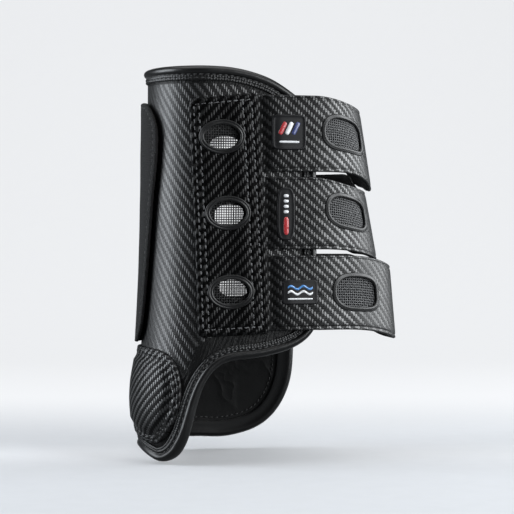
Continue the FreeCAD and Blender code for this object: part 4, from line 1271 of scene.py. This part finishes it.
def loop_panel():
    front_s = SIDE_S + (LOOP_FRONT_X - SIDE_X)
    low_s = np.linspace(loop_rear(LOOP_LOW), front_s, 90)
    top_s = np.linspace(front_s, float(loop_rear(LOOP_HIGH)), 90)
    rear_z = np.linspace(88, 246, 110)[::-1]
    loop = np.vstack([
        pairs(low_s, LOOP_LOW)[:-1],
        pairs(front_s, np.linspace(LOOP_LOW, float(loop_top(front_s)), 80))[:-1],
        pairs(top_s, loop_top(top_s))[:-1],
        pairs(loop_rear(rear_z), rear_z)[:-1]])
    loop = corner_loop(loop, 1.6, 20)
    rows = [closed_row(resample(inset(loop, 3.2, 4), 1.5, closed=True))]
    holes = [vent_loop(centre, -0.1, 56) for centre in FAR_VENTS.values()]
    region = triangulate(loop, holes, 2.4, rings=(0.4, 1.1), lines=rows,
                         line_off=(-0.8, 0.0, 0.8), line_step=1.5)
    lift = loop_lift(region.s, region.z)
    top = (lift + LOOP_T - 0.05 - groove(region, rows, 0.5, 0.9)
           + ripples(region, 22.0, 0.15, 6.0) - rounded(region.edge, 0.9, 0.8))
    sheet("loop_panel_pile", on_shell, region, top, lift + 0.02, LOOP_PILE, "loop_fabric",
          "loop_panel")
    stitches("loop_panel_stitches", rows, on_shell,
             lambda s, z: loop_lift(s, z) + LOOP_T - 0.4, BLACK_THREAD,
             pitch=4.2, length=3.2, width=0.8, height=0.5)


loop_panel()
vents("inner", FAR_VENTS, 0.3 + LOOP_T)

# ------------------------------------------------------------------ strike pad, low on the back
# (s, z) of its upper and lower edges
pad_top = curve_through([
    (-49.4, 49.0), (-48.8, 54.0), (-45.8, 64.0), (-40.8, 71.5), (-33.6, 76.0), (-22.0, 78.0),
    (0.0, 78.6), (22.0, 78.0), (34.0, 76.0), (41.5, 71.5), (47.0, 64.0), (50.4, 54.0),
    (51.0, 49.0)])
pad_low = curve_through([
    (-49.4, 45.0), (-48.6, 40.0), (-46.0, 31.8), (-41.2, 23.4), (-34.6, 16.6), (-27.0, 13.4),
    (-18.0, 13.9), (-8.0, 16.6), (0.0, 18.2), (12.0, 18.6), (26.0, 18.2), (35.0, 19.4),
    (42.0, 22.4), (47.5, 29.2), (50.4, 36.5), (51.0, 41.0)])


def strike_pad():
    s = np.linspace(-49.4, 51, 160)
    loop = np.vstack([pairs(s, pad_low(s))[:-1], pairs(s[::-1], pad_top(s[::-1]))[:-1]])
    loop = corner_loop(loop, 1.3, 8)
    rows = [closed_row(resample(inset(loop, e, 6), 1.2, closed=True)) for e in (2.4, 5.6)]
    region = triangulate(loop, [], 1.8, rings=(0.35, 0.9), lines=rows,
                         line_off=(-1.4, -0.7, 0.0, 0.7, 1.4))
    edge = region.edge
    dome = 1.5 * smooth(7.2, 10.8, edge) + 0.6 * smooth(10.0, 26.0, edge)
    top = (2.3 + 0.3 * smooth(0.3, 2.0, edge) - groove(region, rows, 0.7, 0.9) + dome
           + ripples(region, 18.0, 0.15, 8.0) - rounded(edge, 1.3, 1.5))
    sheet("strike_pad_skin", on_shell, region, top, 0.25, PAD_TWILL,
          "embossed_synthetic_leather", "fetlock_strike_pad")
    stitches("strike_pad_stitches", rows, on_shell, 1.95, DARK_THREAD, "strike_pad_stitching",
             pitch=4.2, length=3.3, width=0.9, height=0.55)


strike_pad()

# ------------------------------------------------------------------ straps, windows, tabs
# rim section as (outwards from the opening, height)
WINDOW_RIM = [(-0.4, -1.2), (-0.5, 0.3), (-0.1, 0.85), (0.5, 1.1), (1.1, 0.95), (1.6, 0.7),
              (2.1, 0.65), (2.5, 0.45), (2.8, 0.05), (2.8, -0.6)]


def rect_loop(u0, u1, half, step, passes=4):
    """Rectangle from u0 to u1 and half above and below, its corners rounded by passes."""
    corners = [(u0, -half), (u1, -half), (u1, half), (u0, half)]
    pts = []
    for a, b in zip(corners, corners[1:] + corners[:1]):
        n = max(2, int(math.hypot(b[0] - a[0], b[1] - a[1]) / 0.8))
        t = np.linspace(0, 1, n, endpoint=False)[:, None]
        pts.append(np.array(a) * (1 - t) + np.array(b) * t)
    return resample(soften(np.vstack(pts), passes), step, closed=True)


def strap_band(name, surface, half, length, window):
    """Outer skin from the root across the front, creased along both edges."""
    start = -(CREASE_S + STRAPS[name].root_s)
    lines = [np.array([[start + 3, v], [length - 2, v]]) for v in (-half + 2.2, half - 2.2)]
    region = triangulate(rect_loop(start, length - 0.6, half, 1.5),
                         [window_loop(window, -0.1, 72)], 2.1, rings=(0.3, 0.8), lines=lines,
                         line_off=(-0.45, 0.0, 0.45), line_step=1.5)
    u, v, edge = region.s, region.z, region.edge
    padding = 0.12 * smooth(2.6, 5.0, edge) + ripples(region, 24.0, 0.10, 12.0)
    # gentle strain folds fanning out from the crease
    folds = (0.22 * np.sin(v * 0.62 + 0.5 * np.sin(u * 0.12))
             * np.exp(-((u - 2.0) / 9.0) ** 2) * smooth(1.0, 6.0, edge))
    top = (STRAP_T - 0.05 - groove(region, lines, 0.42, 0.42, pucker=0.0) + padding + folds
           - rounded(edge, 1.0, 0.9))
    sheet(name + "_strap_band", surface, region, top,
          SKIN_FROM - 0.05 + rounded(edge, 0.5, 0.3), STRAP_TWILL,
          "embossed_synthetic_leather", name + "_strap_root", name + "_strap_skin", body=None)


def strap_knit(name, surface, half, length, window):
    region = triangulate(rect_loop(2.0, length - 1.2, half - 0.5, 1.8),
                         [window_loop(window, -0.1, 60)], 3.0, rings=(0.5,))
    sheet(name + "_strap_knit", surface, region, KNIT_TO + 0.05 - rounded(region.edge, 0.8, 0.35),
          rounded(region.edge, 0.9, 0.7), KNIT, "strap_lining", name + "_strap_lining",
          body=None)


def tab_band(name, surface, half, end):
    """Skin sewn over the strap's end and lying back along the far side."""
    rows = [np.array([[u, -half + 3], [u, half - 3]]) for u in (-6.8, -4.4)]
    region = triangulate(rect_loop(-9.0, end, half, 1.4, 14), [], 1.9, rings=(0.3, 0.8),
                         lines=rows, line_off=(-0.6, 0.0, 0.6))
    lap = 1 - smooth(-2.0, 1.5, region.s)
    top = (STRAP_T + 0.95 * lap - groove(region, rows, 0.4, 0.7)
           - rounded(region.edge, 1.0, 0.9))
    sheet(name + "_tab_band", surface, region, top,
          SKIN_FROM + (STRAP_T + 0.06 - SKIN_FROM) * lap, STRAP_TWILL,
          "embossed_synthetic_leather", name + "_tab_skin", body=None)
    stitches(name + "_tab_stitches", rows, surface, STRAP_T + 0.95 - 0.35, PALE_THREAD,
             pitch=4.0, length=3.1, width=0.9, height=0.5, body=name + "_strap")


def tab_underside(name, surface, half, end):
    """Knit backing with hook tape on its end."""
    body = name + "_tab"
    region = triangulate(rect_loop(0.4, end - 0.6, half - 0.6, 1.8, 12), [], 3.0, rings=(0.5,))
    sheet(name + "_tab_knit", surface, region, KNIT_TO + 0.05 - rounded(region.edge, 0.8, 0.4),
          rounded(region.edge, 0.8, 0.5), KNIT, "strap_lining", name + "_tab_lining", body=body)
    region = triangulate(rect_loop(CREASE_X - HOOK_X, end - 3.0, half - 3.0, 1.4, 8), [], 2.2,
                         rings=(0.4,))
    sheet(name + "_tab_hooks", surface, region, -0.12,
          -0.15 - HOOK_T + rounded(region.edge, 0.5, 0.3), HOOK_TAPE, "hook_tape",
          name + "_hook_pad", body=body)


def strap(name):
    surface, arc = strap_surface(name), STRAP_ARCS[name]
    low, high = STRAPS[name][:2]
    half = (high - low) / 2
    along, up = STRAPS[name].window
    window = (float(np.interp(along, STRAP_Q, arc)), (up - 0.5) * 2 * half)
    strap_band(name, surface, half, arc[-1], window)
    strap_knit(name, surface, half, arc[-1], window)
    rim_ring(name + "_window_ring", surface, lambda grow, n: window_loop(window, grow, n),
             WINDOW_RIM, STRAP_T, name + "_strap", name + "_window_frame")
    weave(name + "_window_weave", surface, window, WINDOW_A + 0.2, WINDOW_B + 0.2, power=3.3,
          d=KNIT_TO + 0.25, wide=0.40, thick=0.27, material=WINDOW_WIRE,
          body=name + "_strap", node=name + "_window_mesh")
    tab, end = tab_surface(name), CREASE_X - TAB_END_X
    tab_band(name, tab, half, end)
    tab_underside(name, tab, half, end)


for name in STRAPS:
    strap(name)


# ------------------------------------------------------------------ badges on the strap roots
def bar(u, v, a, b, turn=0.0, power=5.0):
    """Rounded bar with half-sizes a and b, turned by an angle."""
    x, y = superellipse(0, 0, a, b, 40, power).T
    c, s = math.cos(turn), math.sin(turn)
    return pairs(u + x * c - y * s, v + x * s + y * c)


def wave_band(u, v, half=8.6, height=1.1, thick=0.75, waves=2.0):
    x = np.linspace(-half, half, 60)
    y = height * np.sin(x / half * math.pi * waves)
    return np.vstack([pairs(u + x, v + y - thick), pairs(u + x[::-1], v + y[::-1] + thick)])


def badge(name, s_span, z_span, high, power, lip, slot, thick, marks):
    """Plate with a raised lip; marks lists (suffix, material, shape, args from the centre)."""
    surface = strap_surface(name)
    u = -(CREASE_S + sum(s_span) / 2)
    v = sum(z_span) / 2 - sum(STRAPS[name][:2]) / 2
    a, b = (s_span[1] - s_span[0]) / 2, (z_span[1] - z_span[0]) / 2
    loop = resample(superellipse(u, v, a, b, 160, power), 0.7, closed=True)
    region = triangulate(loop, [], 1.2, rings=(0.2, 0.5, 0.9, 1.3, 1.7))
    full = STRAP_T + 0.08 + high
    top = full - lip * smooth(1.0, 1.6, region.edge) - rounded(region.edge, 0.8, high * 0.7)
    sheet(name + "_badge_plate", surface, region, top, STRAP_T - 0.2, BLACK, slot,
          name + "_badge", edge_shift=1)
    floor_d = full - lip
    for suffix, material, shape, (du, dv, *sizes) in marks:
        loop = resample(shape(u + du, v + dv, *sizes), 0.45, closed=True)
        region = triangulate(loop, [], 0.9)
        sheet(f"{name}_badge_{suffix}", surface, region,
              floor_d + thick - rounded(region.edge, 0.2, thick * 0.6), floor_d - 0.15,
              material, slot, edge_shift=3)


badge("top", (-128.6, -104.9), (212.7, 236.7), high=1.35, power=7.0, lip=0.35,
      slot="badge_square", thick=0.16, marks=[
          ("bar_1", RED, bar, (-4.6, 2.6, 1.5, 4.6, -0.45)),
          ("bar_2", WHITE, bar, (0.0, 2.6, 1.5, 4.6, -0.45)),
          ("bar_3", NAVY, bar, (4.6, 2.6, 1.5, 4.6, -0.45)),
          ("line", WHITE, bar, (0.0, -6.6, 7.0, 0.75))])
badge("middle", (-120.6, -108.4), (151.4, 187.2), high=1.35, power=3.6, lip=0.25,
      slot="badge_capsule", thick=0.15, marks=[
          *((f"dash_{i + 1}", WHITE, bar, (0.0, 12.2 - i * 3.6, 1.7, 1.05, 0.0, 3.0))
            for i in range(4)),
          ("bar", RED, bar, (0.0, -8.2, 1.7, 6.0, 0.0, 4.0))])
badge("bottom", (-136.4, -112.1), (107.8, 124.4), high=0.75, power=12.0, lip=0.1,
      slot="badge_label", thick=0.14, marks=[
          ("wave_1", BLUE, wave_band, (0.0, 3.1)),
          ("wave_2", WHITE, wave_band, (0.0, -0.4)),
          ("line", WHITE, bar, (0.0, -4.6, 8.6, 0.55))])


# ------------------------------------------------------------------ strap skins baked in place, knits carried by their straps
def bend(piece, crease, along, before):
    """Bake the piece's placement into its mesh; crease, along and before are not used."""
    start = Vector(crease * 0.001) - along * before
    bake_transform(piece)


NEAR_LEAN = math.radians(6.5)
for name in STRAPS:
    middle_z = sum(STRAPS[name][:2]) / 2
    bend(PIECES[name + "_strap_band"],
         on_shell(-CREASE_S, middle_z, NEAR_D + STRAP_T),
         Vector((math.cos(NEAR_LEAN), math.sin(NEAR_LEAN), 0.0)) * 0.0070, 0.45)
    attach(PIECES[name + "_strap_knit"], name + "_strap")
    bend(PIECES[name + "_tab_band"],
         on_shell(CREASE_S, middle_z, FAR_D + STRAP_T), Vector((-1.0, 0.0, 0.0)) * 0.0080, 0.4)

# the hidden plate keeps its CAD shape
plate_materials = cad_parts["impact_plate"].data.materials
plate_materials.clear()
plate_materials.append(PLATE)

# ------------------------------------------------------------------ camera (metres from here on)
CAMERA_TURN = math.radians(10.0)
CAMERA_DIST, CAMERA_Z, CAMERA_LENS = 1.250, 0.1585, 125.06848
AIM_RIGHT, AIM_DOWN = 0.01456012, 0.01512012     # slopes of the view off straight ahead
AHEAD = Vector((math.sin(CAMERA_TURN), math.cos(CAMERA_TURN), 0.0))   # away from the camera
RIGHT = Vector((math.cos(CAMERA_TURN), -math.sin(CAMERA_TURN), 0.0))


def camera():
    look = (AHEAD + RIGHT * AIM_RIGHT - Vector((0, 0, 1)) * AIM_DOWN).normalized()
    cam = bpy.data.objects.new("camera", bpy.data.cameras.new("camera"))
    cam.data.sensor_width = 36.0
    cam.data.lens = CAMERA_LENS
    cam.data.clip_start, cam.data.clip_end = 0.05, 50.0
    cam.location = AHEAD * -CAMERA_DIST + Vector((0, 0, CAMERA_Z))
    cam.rotation_euler = look.to_track_quat("-Z", "Y").to_euler()
    bpy.context.scene.collection.objects.link(cam)
    bpy.context.scene.camera = cam


camera()

# ------------------------------------------------------------------ studio
CENTRE = Vector((0.02, 0.0, 0.14))
BACKDROP = (0.85, 0.858, 0.872, 1)


def around(degrees, dist, height):
    """Place by the angle seen from above, from the camera's side towards its right."""
    a = math.radians(degrees)
    return CENTRE - AHEAD * math.cos(a) * dist + RIGHT * math.sin(a) * dist + Vector((0, 0, height))


def area_light(name, place, size, radiance, color=(1, 1, 1)):
    light = bpy.data.lights.new(name, "AREA")
    light.shape = "RECTANGLE"
    light.size, light.size_y = size
    light.energy = radiance * math.pi * size[0] * size[1]
    light.color = color
    light.spread = math.radians(180.0)
    lamp = bpy.data.objects.new(name, light)
    lamp.location = place
    lamp.rotation_euler = (CENTRE - place).to_track_quat("-Z", "Y").to_euler()
    bpy.context.scene.collection.objects.link(lamp)


area_light("left_wall", around(-84, 1.1, 0.22), (0.75, 1.3), radiance=8.5,
           color=(0.90, 0.95, 1.0))
area_light("right_front", around(50, 1.1, 0.20), (0.55, 1.3), radiance=8.0,
           color=(0.95, 0.98, 1.0))
area_light("right_back", around(98, 1.1, 0.20), (0.85, 1.3), radiance=7.0,
           color=(0.95, 0.98, 1.0))
area_light("top_soft", CENTRE + Vector((0.0, 0.1, 1.5)), (1.6, 1.6), radiance=1.9)


def studio_world():
    """The camera sees the backdrop's colour; everything else gets a dim fill."""
    world = bpy.data.worlds.new("studio")
    bpy.context.scene.world = world
    world.use_nodes = True
    nodes, links = world.node_tree.nodes, world.node_tree.links
    fill = nodes["Background"]
    fill.inputs[0].default_value = (0.80, 0.84, 0.92, 1)
    fill.inputs[1].default_value = 0.07
    seen = nodes.new("ShaderNodeBackground")
    seen.inputs[0].default_value = BACKDROP
    seen.inputs[1].default_value = 1.0
    switch = nodes.new("ShaderNodeMixShader")
    links.new(nodes.new("ShaderNodeLightPath").outputs["Is Camera Ray"], switch.inputs[0])
    links.new(fill.outputs[0], switch.inputs[1])
    links.new(seen.outputs[0], switch.inputs[2])
    links.new(switch.outputs[0], nodes["World Output"].inputs[0])


def paper():
    """Paper that glows to the camera, more towards the back; other rays see dull grey."""
    mat = Material("paper")

    def distance_along(direction):
        node = mat.node("ShaderNodeVectorMath", operation="DOT_PRODUCT")
        mat.put(node.inputs[0], mat.node("ShaderNodeNewGeometry").outputs["Position"])
        mat.put(node.inputs[1], tuple(direction))
        return Signal(mat, node.outputs["Value"])

    depth, side = distance_along(AHEAD), distance_along(RIGHT)
    ramp = mat.node("ShaderNodeMapRange",
                    (("Value", depth), ("From Min", 0.06), ("From Max", 0.48),
                     ("To Min", 0.0), ("To Max", 1.0)), interpolation_type="SMOOTHSTEP")
    far = Signal(mat, ramp.outputs[0])
    # painted light beside the boot, stronger to its right, lifts the paper there so the boot's shadow
    # stays short
    away = (depth - 0.012) / 0.055
    fall = 2.7183 ** (away * away * -1.0)
    beside_boot = ((abs(side) - 0.022) / 0.06).clamp()
    amount = mat.mix_value(side > 0.0, 0.18, 0.115)
    painted_light_beside_boot = fall * beside_boot * amount
    glow = mat.node("ShaderNodeEmission", (
        (0, BACKDROP), (1, mat.mix_value(far, 0.22, 0.85) + painted_light_beside_boot)))
    fine = mat.noise(mat.place(), scale=60.0, detail=2.0)
    near_color = mat.mix(fine, (0.332, 0.343, 0.358, 1.0), (0.364, 0.375, 0.392, 1.0))
    far_color = mat.mix(fine, (0.13, 0.135, 0.14, 1.0), (0.14, 0.145, 0.15, 1.0))
    mat.set(color=mat.mix(far, near_color, far_color), rough=0.9, spec=0.1)
    seen = mat.node("ShaderNodeAddShader", ((0, glow.outputs[0]), (1, mat.bsdf.outputs[0])))
    dull = mat.node("ShaderNodeBsdfDiffuse", ((0, (0.16, 0.165, 0.17, 1.0)),))
    camera_ray = mat.node("ShaderNodeLightPath").outputs["Is Camera Ray"]
    switch = mat.node("ShaderNodeMixShader", (
        (0, camera_ray), (1, dull.outputs[0]), (2, seen.outputs[0])))
    mat.put(mat.tree.nodes["Material Output"].inputs[0], switch.outputs[0])
    return mat.data


def studio_sweep():
    """Floor that sweeps up into the backdrop."""
    bend_start, radius = 0.9, 0.8
    profile = [(-3.0, 0.0), (bend_start, 0.0)]
    profile += [(bend_start + radius * math.sin(a), radius - radius * math.cos(a))
                for a in np.linspace(0.1, math.pi / 2, 14)]
    profile += [(1.7, 4.0)]
    verts = [tuple((AHEAD * y + RIGHT * w)[:2]) + (z,) for w in (-4.0, 4.0) for y, z in profile]
    n = len(profile)
    mesh = bpy.data.meshes.new("studio_sweep")
    mesh.from_pydata(verts, [], [[i, i + 1, n + i + 1, n + i] for i in range(n - 1)])
    mesh.polygons.foreach_set("use_smooth", np.ones(len(mesh.polygons), bool))
    floor = bpy.data.objects.new("studio_sweep", mesh)
    floor.location = (0, 0, -0.0005)
    bpy.context.scene.collection.objects.link(floor)
    mesh.materials.append(paper())


studio_world()
studio_sweep()
bpy.context.scene.view_settings.view_transform = "Standard"
